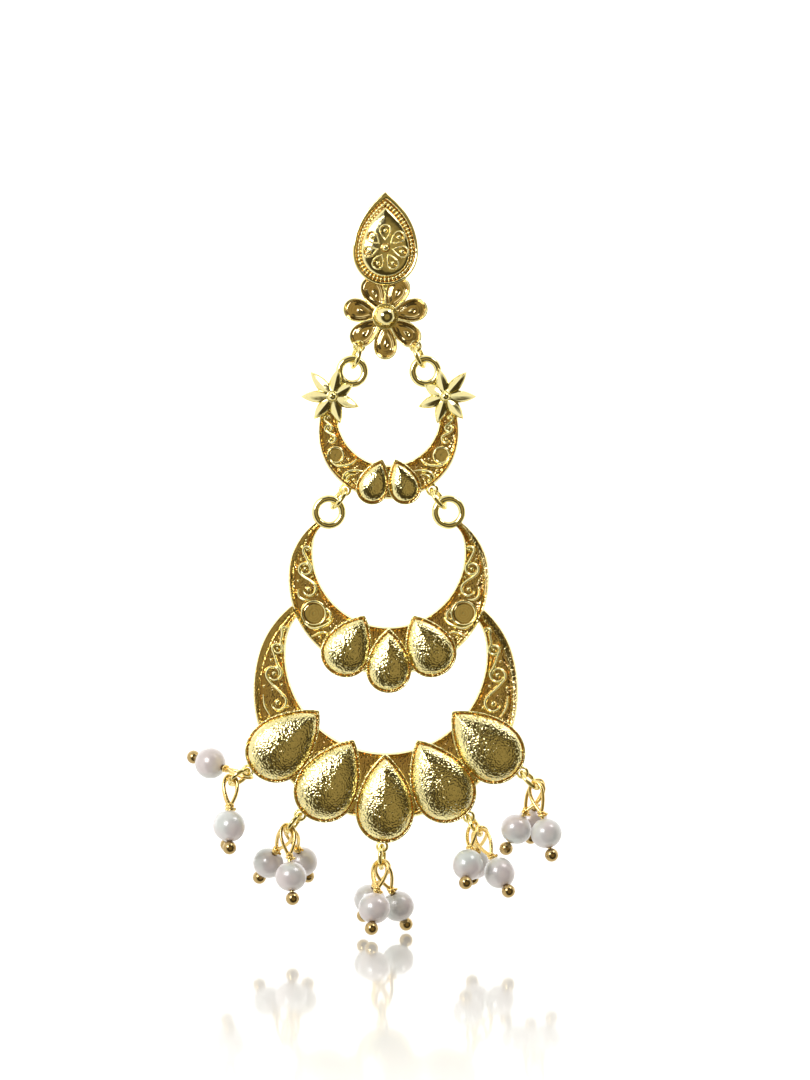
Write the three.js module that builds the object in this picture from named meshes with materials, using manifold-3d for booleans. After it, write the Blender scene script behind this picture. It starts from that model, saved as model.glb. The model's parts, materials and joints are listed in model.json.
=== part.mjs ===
// A chandelier drop earring: a pear-shaped stud plate with a seven-petal flower below it, three cast
// crescents that hang one below another, and five bunches of three small pearls on wire pins.
//
// Millimetres. X runs to the right as seen from the front, +Z is up and the front faces -Y.
// The origin is where the ear post leaves the flat back of the stud plate.

import * as THREE from 'three';
import { mergeVertices } from 'three/addons/utils/BufferGeometryUtils.js';
import Module from 'manifold-3d';

const wasm = await Module();
wasm.setup();

// ---------------------------------------------------------------- driving dimensions

// Depths along Y. The castings have flat backs; the lower crescent hangs just behind the middle one.
const FRONT_LAYER = { back: 0, floor: -0.5, rim: -1 };
const REAR_LAYER = { back: 1.2, floor: 0.75, rim: 0.3 };
const FRONT_MIDDLE = (FRONT_LAYER.back + FRONT_LAYER.rim) / 2;
const REAR_MIDDLE = (REAR_LAYER.back + REAR_LAYER.rim) / 2;

const STUD_PLATE = { tipZ: 7, wideZ: -0.65, halfWidth: 4.1, archZ: 3.8, rim: -1.2, rimWidth: 0.42, groove: 0.25 };
const STUD_DOME = { margin: 0.75, height: 0.85, layers: 3 };
const ROSETTE = { z: -0.25, petals: 7, ring: 2.25, disc: 0.55, discFront: -1.85, bead: 0.75, beadY: -1.6 };
const EAR_POST = { radius: 0.42, length: 10.5, roundEnd: 0.3, sides: 12 };

const FLOWER = {
  z: -8.6, petals: 7, reach: 5.4, width: 2.9, rootHalfWidth: 0.45, front: -0.85,
  dish: 0.3, rim: 0.35, hub: 1.15, collar: 1.5, collarFront: -1.15,
};

const EYE = { hole: 0.48, radius: 0.82, thickness: 0.5 };
const EYE_SIDES = 10;
const FLOWER_EYES = [
  { x: -3.3, z: -12.3, lean: -17, yaw: -15 },
  { x: 3.75, z: -12.3, lean: 22, yaw: 15 },
];
const UPPER_EYES = [
  { x: -5.46, z: -30.25, lean: -36, yaw: -15 },
  { x: 5.46, z: -30.25, lean: 36, yaw: 15 },
];

// The drops hang a little to one side of the stud, and the lowest one a little askew.
const DROP_SHIFT = 0.4;
const LOWER_HANG = { shift: 0.1, tilt: 0.4 };

const RING = { radius: 1.4, wire: 0.28, sides: 5, steps: 12 };
const RING_LIFT = 0.1;

// Each crescent is the space between an outer and an inner circle, drawn in to a horn on each side.
const UPPER = {
  outerZ: -22.95, outerR: 8.85, innerZ: -20.8, innerR: 6.3, rim: 0.5,
  hornOuter: 40, hornInner: 38, outerTip: [5.3, -15.8], innerTip: [4.4, -16.4], pocketTip: [6.3, -17.6],
  loop: { x: 4.58, z: -15.43, hole: 1.1, radius: 2.05 },
};
const MIDDLE = {
  outerZ: -41.1, outerR: 12.6, innerZ: -37.9, innerR: 9.38, rim: 0.52,
  hornOuter: 5, hornInner: 8, outerTip: [8.7, -33.9], innerTip: [8.2, -34.7], pocketTip: [9.35, -35.3],
  loop: { x: 7.48, z: -33, hole: 1.2, radius: 2.15 },
};
const LOWER = {
  outerZ: -55.25, outerR: 16.63, innerZ: -50.6, innerR: 12.5, rim: 0.55,
  hornOuter: 16, hornInner: 6, outerTip: [11.5, -44.4], innerTip: [10.3, -45.4], pocketTip: [12.1, -46.4],
  loop: { x: 10.05, z: -44.1, hole: 0.85, radius: 1.45 },
};
const BAND_STEPS = { outer: 13, inner: 11, horn: 4 };
const LOOP_SIDES = 14;

// Pears: place of the pointed tip, tilt of the round end outwards, and size.
const UPPER_PEARS = [{ x: 0.8, z: -26.4, tilt: 19, length: 5.9, width: 4.1 }];
const MIDDLE_PEARS = [
  { x: 0, z: -47.5, tilt: 0, length: 8.1, width: 5.7 },
  { x: 3, z: -45.9, tilt: 27, length: 8.3, width: 6.2 },
];
const LOWER_PEARS = [
  { x: 0, z: -63.2, tilt: 0, length: 11.2, width: 7.4 },
  { x: 3.95, z: -61.5, tilt: 29, length: 11.3, width: 7.9 },
  { x: 8.3, z: -57.9, tilt: 46, length: 11.3, width: 7.9 },
];
const PEAR = { sides: 16, layers: 2, rim: 0.3, groove: 0.2, domeMargin: 0.42, stand: 0.35, height: 0.21, middle: 0.6 };
// How full a pear's shoulders are: 1 gives straight flanks at the point, less gives rounder ones.
const SHOULDER = { pear: 0.7, loop: 1 };

const STAR = { x: 7.05, z: -18.6, back: -0.35, front: -1.13, halfWidth: 0.74, ridge: 0.5, ball: 0.62 };
const STAR_LEAVES = [
  { angle: 49, reach: 4.1 }, { angle: 103, reach: 3.6 }, { angle: 150, reach: 3 }, { angle: 201, reach: 3.6 },
  { angle: 253, reach: 3.5 }, { angle: 309, reach: 3.6 }, { angle: 0, reach: 3.9 },
];

// Scroll relief on the floors: centre, radius, angle where the scroll opens, and turns (right half).
const UPPER_SCROLLS = [
  { x: 7.6, z: -22, radius: 0.62, open: 60, turns: 1.2 },
  { x: 7.35, z: -23.9, radius: 0.7, open: 250, turns: -1.2 },
  { x: 6.55, z: -25.9, radius: 1.05, open: 60, turns: 1.3 },
  { x: 4.6, z: -28.4, radius: 0.95, open: 170, turns: -1.1 },
];
const MIDDLE_SCROLLS = [
  { x: 10.3, z: -37.7, radius: 0.55, open: 250, turns: 1.2 },
  { x: 10.65, z: -40, radius: 0.75, open: 90, turns: -1.3 },
  { x: 10.1, z: -42.6, radius: 0.95, open: 250, turns: 1.3 },
  { x: 9.2, z: -45.6, radius: 1.4, open: 80, turns: -1.3 },
];
const LOWER_SCROLLS = [
  { x: 13.6, z: -50, radius: 0.8, open: 250, turns: 1.2 },
  { x: 14.3, z: -53.3, radius: 1, open: 90, turns: -1.3 },
  { x: 13.5, z: -57, radius: 1.2, open: 250, turns: 1.3 },
];
const SCROLL = { wire: 0.29, sides: 3, steps: 6, heart: 0.36 };

// Headed pegs on the back of the middle crescent carry the loops of the lower one.
const PEG = { radius: 0.5, head: 0.95, headThickness: 0.4, play: 0.3, sides: 10 };

// One eye below each big pear, and how the ring in it hangs: its lean and its turn about its own length.
const PEARL_EYES = [
  { x: -17.2, z: -65.5, lean: -52, yaw: 22 },
  { x: -10.6, z: -71, lean: -36, yaw: 12 },
  { x: -0.3, z: -74.85, lean: -1, yaw: 10 },
  { x: 10.5, z: -71.05, lean: 34, yaw: 12 },
  { x: 17.2, z: -65.5, lean: 46, yaw: 14 },
];
// How each pearl hangs on its ring: place along the ring's wire, lean towards +X and lean to the back.
const PEARL_PINS = [
  [{ name: 'a', along: 120, lean: -107, back: 34 }, { name: 'b', along: -40, lean: 0, back: -19 },
    { name: 'c', along: 0, lean: -4, back: 25 }],
  [{ name: 'a', along: 0, lean: -31, back: 36 }, { name: 'b', along: -40, lean: 5, back: -14 },
    { name: 'c', along: 40, lean: 19, back: 42 }],
  [{ name: 'a', along: 40, lean: -20, back: 34 }, { name: 'b', along: -40, lean: -8, back: -30 },
    { name: 'c', along: 0, lean: 23, back: 24 }],
  [{ name: 'a', along: -90, lean: -8, back: -41 }, { name: 'b', along: 0, lean: 27, back: -30 },
    { name: 'c', along: 40, lean: -8, back: 42 }],
  [{ name: 'a', along: 0, lean: -27, back: 6 }, { name: 'b', along: -40, lean: 14, back: -9 },
    { name: 'c', along: 40, lean: -5, back: 36 }],
];
const PEARL = { radius: 1.95, bore: 0.6, sides: 10, bands: 5 };
const PIN = {
  wire: 0.21, sides: 5, steps: 4, stemSides: 5,
  loopAbove: 0.7, loopLength: 3.6, loopHalfWidth: 0.9,
  neck: 1.2, neckRadius: 0.5, toPearl: 5.9,
  ball: 0.85, ballBelow: 2.78,
};

const GOLD = { color: 0xd8b45c, roughness: 0.25, metalness: 1 };
const PEARL_WHITE = { color: 0xe9e4e2, roughness: 0.25, metalness: 0 };

// ---------------------------------------------------------------- solids and outlines

const rad = THREE.MathUtils.degToRad;

/** A closed solid from a three.js geometry: only positions are kept and shared corners are merged. */
function toSolid(geometry) {
  const bare = geometry.clone();
  bare.deleteAttribute('normal');
  bare.deleteAttribute('uv');
  const merged = mergeVertices(bare, 1e-5);
  const place = merged.attributes.position;
  const corners = merged.index.array;
  const triangles = [];
  let volume = 0;
  for (let i = 0; i < corners.length; i += 3) {
    const [a, b, c] = corners.slice(i, i + 3);
    if (a === b || b === c || c === a) continue;
    triangles.push([a, b, c]);
    const [p, q, r] = [a, b, c].map((corner) => new THREE.Vector3().fromBufferAttribute(place, corner));
    volume += p.dot(q.cross(r));
  }
  const facingOut = volume > 0 ? triangles : triangles.map(([a, b, c]) => [a, c, b]);
  return new wasm.Manifold(new wasm.Mesh({
    numProp: 3,
    vertProperties: new Float32Array(place.array),
    triVerts: new Uint32Array(facingOut.flat()),
  }));
}

function toGeometry(solid) {
  const mesh = solid.getMesh();
  const geometry = new THREE.BufferGeometry();
  geometry.setAttribute('position', new THREE.BufferAttribute(mesh.vertProperties.slice(), 3));
  geometry.setIndex(new THREE.BufferAttribute(mesh.triVerts.slice(), 1));
  return geometry;
}

function joined(solids) {
  return solids.reduce((all, next) => all.add(next));
}

function without(solid, cutters) {
  return cutters.reduce((left, cutter) => left.subtract(cutter), solid);
}

/** A solid moved by a matrix: three.js places the pieces, and the booleans only join and cut. */
function moved(solid, matrix) {
  return toSolid(toGeometry(solid).applyMatrix4(matrix));
}

/** A turn about +Y, then a move in the XZ plane. */
function turnAndPlace(degrees, x, z) {
  return new THREE.Matrix4().makeTranslation(x, 0, z).multiply(new THREE.Matrix4().makeRotationY(rad(degrees)));
}

function point(x, z) {
  return new THREE.Vector2(x, z);
}

/** Extrudes an outline drawn in (x, z) so that it fills the depth from y = back to y = front. */
function slab(points, back, front) {
  const depth = back - front;
  const geometry = new THREE.ExtrudeGeometry(new THREE.Shape(points), { depth, bevelEnabled: false });
  return toSolid(geometry.rotateX(Math.PI / 2).translate(0, back, 0));
}

function arc(x, z, radius, from, to, steps) {
  return Array.from({ length: steps + 1 }, (_, i) => {
    const angle = rad(from + (to - from) * i / steps);
    return point(x + radius * Math.cos(angle), z + radius * Math.sin(angle));
  });
}

function disc(x, z, radius, sides) {
  return arc(x, z, radius, 0, 360, sides).slice(0, sides);
}

/** A right-hand half outline continued with its mirror image, without doubled points. */
function closedByMirror(right) {
  const left = right.map((p) => point(-p.x, p.y)).reverse();
  return right.concat(left).filter((p, i, all) => p.distanceTo(all[(i + 1) % all.length]) > 1e-3);
}

/** A tube of few sides along a path, with flat ends. */
function tube(path, wire, sides, steps) {
  const section = new THREE.Shape(disc(0, 0, wire, sides));
  return toSolid(new THREE.ExtrudeGeometry(section, { steps, extrudePath: path, bevelEnabled: false }));
}

/** A dome over any outline: a quarter-round profile turned once, each turn step drawn to one outline point. */
function dome(outline, middle, base, height, layers) {
  const profile = [new THREE.Vector2(0, 0)];
  for (let i = 0; i <= layers; i += 1) {
    const angle = rad(90 * i / layers);
    profile.push(new THREE.Vector2(i < layers ? Math.cos(angle) : 0, height * Math.sin(angle)));
  }
  const geometry = new THREE.LatheGeometry(profile, outline.length);
  const place = geometry.attributes.position;
  for (let i = 0; i < place.count; i += 1) {
    const share = Math.hypot(place.getX(i), place.getZ(i));
    const edge = outline[Math.floor(i / profile.length) % outline.length];
    place.setXYZ(i, edge.x * share, base - place.getY(i), middle + (edge.y - middle) * share);
  }
  return toSolid(geometry);
}

// ---------------------------------------------------------------- eyes, loops and jump rings

function eyes(places, y) {
  const half = EYE.thickness / 2;
  return {
    plates: places.map(({ x, z }) => slab(disc(x, z, EYE.radius, EYE_SIDES), y + half, y - half)),
    bores: places.map(({ x, z }) => slab(disc(x, z, EYE.hole, EYE_SIDES), y + 3, y - 3)),
  };
}

function bothSides({ x, z }) {
  return [{ x, z }, { x: -x, z }];
}

/** Where a jump ring hangs: its wire passes through the eye, and it leans away from straight down. */
function ringFrame(eye, y) {
  const { lean, yaw } = eye;
  const hang = new THREE.Vector3(Math.sin(rad(lean)), 0, -Math.cos(rad(lean)));
  const across = new THREE.Vector3(0, 1, 0).applyAxisAngle(hang, rad(yaw));
  const centre = new THREE.Vector3(eye.x, y, eye.z).addScaledVector(hang, RING.radius - RING_LIFT);
  return { hang, across, centre };
}

function placed(name, geometry, look, origin, xAxis, yAxis) {
  const mesh = new THREE.Mesh(geometry, new THREE.MeshStandardMaterial(look));
  mesh.name = name;
  const zAxis = new THREE.Vector3().crossVectors(xAxis, yAxis);
  mesh.quaternion.setFromRotationMatrix(new THREE.Matrix4().makeBasis(xAxis, yAxis, zAxis));
  mesh.position.copy(origin);
  return mesh;
}

function jumpRing(name, { centre, hang, across }) {
  const geometry = new THREE.TorusGeometry(RING.radius, RING.wire, RING.sides, RING.steps);
  return placed(name, geometry, GOLD, centre, hang, across);
}

function casting(name, solid) {
  const mesh = new THREE.Mesh(toGeometry(solid), new THREE.MeshStandardMaterial(GOLD));
  mesh.name = name;
  return mesh;
}

// ---------------------------------------------------------------- stud

/** Outline of the stud plate: a round foot that rises in a pointed arch. */
function studOutline() {
  const { tipZ, wideZ, halfWidth, archZ } = STUD_PLATE;
  const foot = arc(0, wideZ, halfWidth, -90, 0, 7);
  const arch = new THREE.QuadraticBezierCurve(point(halfWidth, wideZ), point(halfWidth, archZ), point(0, tipZ));
  return closedByMirror(foot.concat(arch.getPoints(8).slice(1)));
}

/** An outline drawn in towards a point on the middle line, by a margin at its widest place. */
function drawnIn(outline, middle, halfWidth, margin) {
  const shrink = 1 - margin / halfWidth;
  return outline.map((p) => point(p.x * shrink, middle + (p.y - middle) * shrink));
}

function studPlate() {
  const { rim, rimWidth, groove, wideZ, halfWidth } = STUD_PLATE;
  const outline = studOutline();
  const inside = (margin) => drawnIn(outline, wideZ, halfWidth, margin);
  const plate = slab(outline, 0, rim);
  const field = slab(inside(rimWidth), rim + groove, rim - 1);
  const swell = dome(inside(STUD_DOME.margin), wideZ, rim + groove, STUD_DOME.height, STUD_DOME.layers);
  return plate.subtract(field).add(swell);
}

/** The small flower in low relief on the stud plate. */
function rosette() {
  const discs = Array.from({ length: ROSETTE.petals }, (_, i) => {
    const angle = rad(90 + 360 * i / ROSETTE.petals);
    const x = ROSETTE.ring * Math.cos(angle);
    const z = ROSETTE.z + ROSETTE.ring * Math.sin(angle);
    return slab(disc(x, z, ROSETTE.disc, 8), STUD_PLATE.rim, ROSETTE.discFront);
  });
  const bead = new THREE.SphereGeometry(ROSETTE.bead, 8, 6).translate(0, ROSETTE.beadY, ROSETTE.z);
  return joined([...discs, toSolid(bead)]);
}

/** One dished petal that points along +X from the middle of the flower. */
function flowerPetal() {
  const { reach, width, rootHalfWidth, front, dish, rim } = FLOWER;
  const end = width / 2;
  const paddle = (radius, root, half) => [point(root, -half), ...arc(reach - end, 0, radius, -110, 110, 8),
    point(root, half)];
  const petal = slab(paddle(end, 0.5, rootHalfWidth), 0, front);
  return petal.subtract(slab(paddle(end - rim, 1.9, rootHalfWidth / 2), front + dish, front - 1));
}

function sevenPetalFlower() {
  const petals = Array.from({ length: FLOWER.petals }, (_, i) => {
    return moved(flowerPetal(), turnAndPlace(90 - 360 * i / FLOWER.petals, 0, 0));
  });
  const collar = slab(disc(0, 0, FLOWER.collar, 12), 0, FLOWER.collarFront);
  const hub = toSolid(new THREE.SphereGeometry(FLOWER.hub, 12, 8).translate(0, FLOWER.collarFront, 0));
  const upToBack = slab(disc(0, 0, 3, 12), 3, 0);
  return moved(joined([...petals, collar, hub]).subtract(upToBack), turnAndPlace(0, 0, FLOWER.z));
}

function studCasting() {
  const { plates, bores } = eyes(FLOWER_EYES, FLOWER.front / 2);
  return casting('stud_casting', without(joined([studPlate(), rosette(), sevenPetalFlower(), ...plates]), bores));
}

function earPost() {
  const { radius, length, roundEnd, sides } = EAR_POST;
  const profile = [point(0, 0), point(radius, 0), point(radius, length - roundEnd),
    point(radius / 2, length), point(0, length)];
  return casting('ear_post', toSolid(new THREE.LatheGeometry(profile, sides)));
}

// ---------------------------------------------------------------- crescents

/** Right half of one edge of a crescent: an arc from the bottom, then a bend into the horn. */
function crescentEdge(z, radius, hornAngle, tip, steps) {
  const edge = arc(0, z, radius, -90, hornAngle, steps);
  const start = edge[edge.length - 1];
  const along = point(-Math.sin(rad(hornAngle)), Math.cos(rad(hornAngle)));
  const control = start.clone().addScaledVector(along, start.distanceTo(tip) / 2);
  return edge.concat(new THREE.QuadraticBezierCurve(start, control, tip).getPoints(BAND_STEPS.horn).slice(1));
}

function crescentOutline(size, inset, outerTip, innerTip) {
  const { outerZ, outerR, hornOuter, innerZ, innerR, hornInner } = size;
  const outer = crescentEdge(outerZ, outerR - inset, hornOuter, point(...outerTip), BAND_STEPS.outer);
  const inner = crescentEdge(innerZ, innerR + inset, hornInner, point(...innerTip), BAND_STEPS.inner);
  return closedByMirror(outer.concat(inner.reverse()));
}

/** The band with raised rims, its two loops and what is cast on it, less the holes through it. */
function crescent(name, size, layer, castOn, bores) {
  const band = slab(crescentOutline(size, 0, size.outerTip, size.innerTip), layer.back, layer.rim);
  const pocketOutline = crescentOutline(size, size.rim, size.pocketTip, size.pocketTip);
  const pocket = slab(pocketOutline, layer.floor, layer.rim - 1);
  const loops = bothSides(size.loop);
  const plates = loops.map(({ x, z }) => slab(disc(x, z, size.loop.radius, LOOP_SIDES), layer.back, layer.rim));
  const holes = loops.map(({ x, z }) => slab(disc(x, z, size.loop.hole, LOOP_SIDES), layer.back + 1, layer.rim - 1));
  const whole = joined([band.subtract(pocket), ...plates, ...castOn]);
  return casting(name, without(whole, [...holes, ...bores]));
}

/** Half width of a pear shape, as a share of its widest, at an angle round it from the point. */
function swellAt(angle, shoulder) {
  const widest = Math.acos(-shoulder / (2 + shoulder));
  const swell = (turn) => Math.sin(turn) * Math.abs(Math.sin(turn / 2)) ** shoulder;
  return swell(angle) / swell(widest);
}

/** Outline of a pear, its pointed tip at (0, 0) and its round end below. */
function pearOutline({ length, width }) {
  return Array.from({ length: PEAR.sides }, (_, i) => {
    const angle = 2 * Math.PI * i / PEAR.sides;
    return point(-swellAt(angle, SHOULDER.pear) * width / 2, -length * (1 - Math.cos(angle)) / 2);
  });
}

/** One pear: a column with a thin rim, a groove inside it and a high dome. */
function pear(size, layer) {
  const front = layer.rim - PEAR.stand;
  const middle = -size.length * PEAR.middle;
  const outline = pearOutline(size);
  const inside = (margin) => drawnIn(outline, middle, size.width / 2, margin);
  const groove = slab(inside(PEAR.rim), front + PEAR.groove, front - 1);
  const swell = dome(inside(PEAR.domeMargin), middle, front + PEAR.groove, size.width * PEAR.height, PEAR.layers);
  const whole = slab(outline, layer.back, front).subtract(groove).add(swell);
  return moved(whole, turnAndPlace(-size.tilt, size.x, size.z));
}

function pearsOnBothSides(pears, layer) {
  return pears.flatMap((size) => {
    const other = { ...size, x: -size.x, tilt: -size.tilt };
    return (size.x === 0 ? [size] : [size, other]).map((one) => pear(one, layer));
  });
}

/** A flat spiral in the XZ plane that winds from its open end in to its heart. */
class ScrollPath extends THREE.Curve {
  constructor(scroll, y) {
    super();
    this.scroll = scroll;
    this.y = y;
  }

  getPoint(t, target = new THREE.Vector3()) {
    const { x, z, radius, open, turns } = this.scroll;
    const angle = rad(open + 360 * turns * t);
    const reach = radius * (1 - (1 - SCROLL.heart) * t);
    return target.set(x + reach * Math.cos(angle), this.y, z + reach * Math.sin(angle));
  }
}

function scrollsOnBothSides(scrolls, floor) {
  return scrolls.flatMap((scroll) => {
    const other = { ...scroll, x: -scroll.x, open: 180 - scroll.open, turns: -scroll.turns };
    return [scroll, other].map((one) => tube(new ScrollPath(one, floor), SCROLL.wire, SCROLL.sides, SCROLL.steps));
  });
}

/** One leaf of a star flower along +X: a lozenge that rises to a ridge, as a four-sided turned shape. */
function starLeaf({ angle, reach }) {
  const { back, front, ridge, halfWidth } = STAR;
  const profile = [point(0, back), point(1, back), point(1, front), point(0, front - ridge)];
  const leaf = new THREE.LatheGeometry(profile, 4).scale(reach / 2, 1, halfWidth).translate(reach / 2, 0, 0);
  return toSolid(leaf.applyMatrix4(turnAndPlace(-angle, STAR.x, STAR.z)));
}

/** The two star flowers, seven leaves round a small ball, one on each horn of the upper crescent. */
function starFlowers() {
  const { x, z, back, front, ball } = STAR;
  const profile = [point(0, back), point(ball, back), point(ball, front - ball / 4),
    point(ball * 0.75, front - ball), point(0, front - ball * 1.3)];
  const middle = new THREE.LatheGeometry(profile, 8).translate(x, 0, z);
  const right = joined([...STAR_LEAVES.map(starLeaf), toSolid(middle)]);
  return [right, moved(right, new THREE.Matrix4().makeScale(-1, 1, 1))];
}

function upperCrescent() {
  const { plates, bores } = eyes(UPPER_EYES, FRONT_MIDDLE);
  const castOn = [...starFlowers(), ...scrollsOnBothSides(UPPER_SCROLLS, FRONT_LAYER.floor),
    ...pearsOnBothSides(UPPER_PEARS, FRONT_LAYER), ...plates];
  return crescent('upper_crescent', UPPER, FRONT_LAYER, castOn, bores);
}

/** A headed peg that stands out of the middle crescent's back, through a loop of the lower crescent. */
function peg({ x, z }) {
  const headBack = REAR_LAYER.back + PEG.play;
  const neck = slab(disc(x, z, PEG.radius, PEG.sides), headBack, FRONT_LAYER.floor);
  return neck.add(slab(disc(x, z, PEG.head, PEG.sides), headBack + PEG.headThickness, headBack));
}

function middleCrescent() {
  const castOn = [...scrollsOnBothSides(MIDDLE_SCROLLS, FRONT_LAYER.floor),
    ...pearsOnBothSides(MIDDLE_PEARS, FRONT_LAYER), ...bothSides(LOWER.loop).map(peg)];
  return crescent('middle_crescent', MIDDLE, FRONT_LAYER, castOn, []);
}

function lowerCrescent() {
  const { plates, bores } = eyes(PEARL_EYES, REAR_MIDDLE);
  const castOn = [...scrollsOnBothSides(LOWER_SCROLLS, REAR_LAYER.floor),
    ...pearsOnBothSides(LOWER_PEARS, REAR_LAYER), ...plates];
  return crescent('lower_crescent', LOWER, REAR_LAYER, castOn, bores);
}

// ---------------------------------------------------------------- pearls on their pins

/** A stretch of the centre line of a pin's loop: a teardrop in the local XZ plane with its tip at the neck. */
class LoopPath extends THREE.Curve {
  constructor(from, to) {
    super();
    this.from = from;
    this.to = to;
  }

  getPoint(t, target = new THREE.Vector3()) {
    const angle = 2 * Math.PI * (this.from + (this.to - this.from) * t);
    const swell = swellAt(angle, SHOULDER.loop);
    const rise = PIN.loopLength * (1 - Math.cos(angle)) / 2;
    return target.set(PIN.loopHalfWidth * swell, 0, PIN.loopAbove - PIN.loopLength + rise);
  }
}

/** The pin hangs down its own -Z from the middle of the ring's wire, which its loop goes round. */
function pinGeometry() {
  const { wire, neck, neckRadius, ball } = PIN;
  const neckTop = PIN.loopAbove - PIN.loopLength + wire;
  const ballZ = -PIN.toPearl - PIN.ballBelow;
  const ballSlant = ball * Math.SQRT1_2;
  const profile = [point(0, neckTop), point(neckRadius, neckTop), point(neckRadius, neckTop - neck),
    point(wire, neckTop - neck), point(wire, ballZ + ball), point(ballSlant, ballZ + ballSlant),
    point(ball, ballZ), point(ballSlant, ballZ - ballSlant), point(0, ballZ - ball)];
  const stem = new THREE.LatheGeometry(profile, PIN.stemSides).rotateX(Math.PI / 2);
  const halves = [[0, 0.51], [0.49, 1]].map(([from, to]) => tube(new LoopPath(from, to), wire, PIN.sides, PIN.steps));
  return toGeometry(joined([...halves, toSolid(stem)]));
}

/** A sphere with a bore along its own Z, turned from a profile that closes on itself. */
function pearlGeometry() {
  const { radius, bore, bands, sides } = PEARL;
  const mouth = Math.asin(bore / radius);
  const profile = Array.from({ length: bands + 1 }, (_, i) => {
    const angle = mouth + (Math.PI - 2 * mouth) * i / bands;
    return point(radius * Math.sin(angle), -radius * Math.cos(angle));
  });
  const turned = new THREE.LatheGeometry([...profile, profile[0].clone()], sides).rotateX(Math.PI / 2);
  return toGeometry(toSolid(turned));
}

/** One pearl and its pin, hung on a jump ring at the given place along the ring's wire. */
function pearlOnPin(label, frame, { along, lean, back }, pin, pearl) {
  const { centre, hang, across } = frame;
  const turn = rad(along);
  const outwards = hang.clone().multiplyScalar(Math.cos(turn)).addScaledVector(across, Math.sin(turn));
  const wire = across.clone().multiplyScalar(Math.cos(turn)).addScaledVector(hang, -Math.sin(turn));
  const origin = centre.clone().addScaledVector(outwards, RING.radius);
  const level = Math.cos(rad(back));
  const down = new THREE.Vector3(Math.sin(rad(lean)) * level, Math.sin(rad(back)), -Math.cos(rad(lean)) * level);
  const facing = wire.addScaledVector(down, -wire.dot(down)).normalize();
  const side = new THREE.Vector3().crossVectors(facing, down.clone().negate());
  return [
    placed(`pearl_${label}`, pearl, PEARL_WHITE, origin.clone().addScaledVector(down, PIN.toPearl), side, facing),
    placed(`head_pin_${label}`, pin, GOLD, origin, side, facing),
  ];
}

function pearlBunches() {
  const pin = pinGeometry();
  const pearl = pearlGeometry();
  return PEARL_EYES.flatMap((eye, i) => {
    const frame = ringFrame(eye, REAR_MIDDLE);
    const hung = PEARL_PINS[i].flatMap((row) => pearlOnPin(`${i + 1}${row.name}`, frame, row, pin, pearl));
    return [jumpRing(`pearl_ring_${i + 1}`, frame), ...hung];
  });
}

// ---------------------------------------------------------------- assembly

/** A group moved sideways and tilted about +Y through a height. */
function hung({ shift, tilt }, height, meshes) {
  const group = new THREE.Group();
  group.applyMatrix4(turnAndPlace(tilt, shift, height).multiply(turnAndPlace(0, 0, -height)));
  return group.add(...meshes);
}

/** The left and the right jump ring of a pair of eyes. */
function ringPair(label, pair, y) {
  return pair.map((eye, i) => jumpRing(`${label}_jump_ring_${['left', 'right'][i]}`, ringFrame(eye, y)));
}

const earring = new THREE.Group();
earring.add(studCasting(), earPost(), ...ringPair('upper', FLOWER_EYES, FLOWER.front / 2));
earring.add(hung({ shift: DROP_SHIFT, tilt: 0 }, 0, [
  upperCrescent(),
  ...ringPair('lower', UPPER_EYES, FRONT_MIDDLE),
  middleCrescent(),
]));
earring.add(hung(LOWER_HANG, LOWER.loop.z, [lowerCrescent(), ...pearlBunches()]));

export default earring;
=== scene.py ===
"""A chandelier drop earring in cast, waxed and rubbed gold, with small pearls on wire pins.

The forms are modelled in millimetres, as on the bench, and brought to metres when they are handed
to the frame. X runs to the right as seen from the front, +Z is up and the front faces -Y.
"""

import json
import logging
import math
from dataclasses import dataclass
from enum import Enum
from typing import Callable, NamedTuple, Sequence

import bmesh
import bpy
from mathutils import Matrix, Vector

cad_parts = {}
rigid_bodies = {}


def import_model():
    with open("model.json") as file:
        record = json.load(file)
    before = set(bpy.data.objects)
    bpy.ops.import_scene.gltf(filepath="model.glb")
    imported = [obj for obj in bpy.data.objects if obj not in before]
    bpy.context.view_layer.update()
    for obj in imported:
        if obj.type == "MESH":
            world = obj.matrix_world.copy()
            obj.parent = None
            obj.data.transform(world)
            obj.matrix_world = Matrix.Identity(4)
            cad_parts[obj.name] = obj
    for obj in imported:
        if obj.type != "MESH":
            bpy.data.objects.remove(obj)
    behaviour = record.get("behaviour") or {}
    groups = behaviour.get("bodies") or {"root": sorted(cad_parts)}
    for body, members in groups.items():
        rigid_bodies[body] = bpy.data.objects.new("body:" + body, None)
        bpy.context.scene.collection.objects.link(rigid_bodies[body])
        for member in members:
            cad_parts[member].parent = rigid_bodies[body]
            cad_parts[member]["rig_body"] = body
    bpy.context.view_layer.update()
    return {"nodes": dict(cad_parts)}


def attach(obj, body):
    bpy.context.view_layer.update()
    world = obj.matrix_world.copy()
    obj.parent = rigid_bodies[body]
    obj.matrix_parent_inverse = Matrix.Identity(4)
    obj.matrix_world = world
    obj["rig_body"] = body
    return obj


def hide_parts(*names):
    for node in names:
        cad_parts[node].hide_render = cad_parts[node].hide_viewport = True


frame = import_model()

LOG = logging.getLogger("earring")
METRES = 0.001
# Name of the mark for dark waxing, which also paints the shade that falls in recesses, grooves and
# at the feet of raised parts.
WAX_AND_SHADE = "wax_and_shade"
HAMMERED = "hammered"
MIRROR = Matrix.Scale(-1, 4, (1, 0, 0))
SHARPEST_SMOOTH = math.radians(42.0)
WIRE_SECTION = 3
# Small steps in depth, so that no two flat backs that touch lie in one plane.
PEAR_STEP, TWIN_STEP, LEAF_STEP = 0.04, 0.02, 0.015

Form = bpy.types.Object
Finish = bpy.types.Material
Triple = tuple[float, float, float]
Sockets = dict[str, float | tuple[float, ...]]
SHEET_WHITE: Sockets = {"Base Color": (0.8, 0.8, 0.8, 1), "Emission Color": (1, 1, 1, 1)}


# ---------------------------------------------------------------- points and outlines


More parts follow.
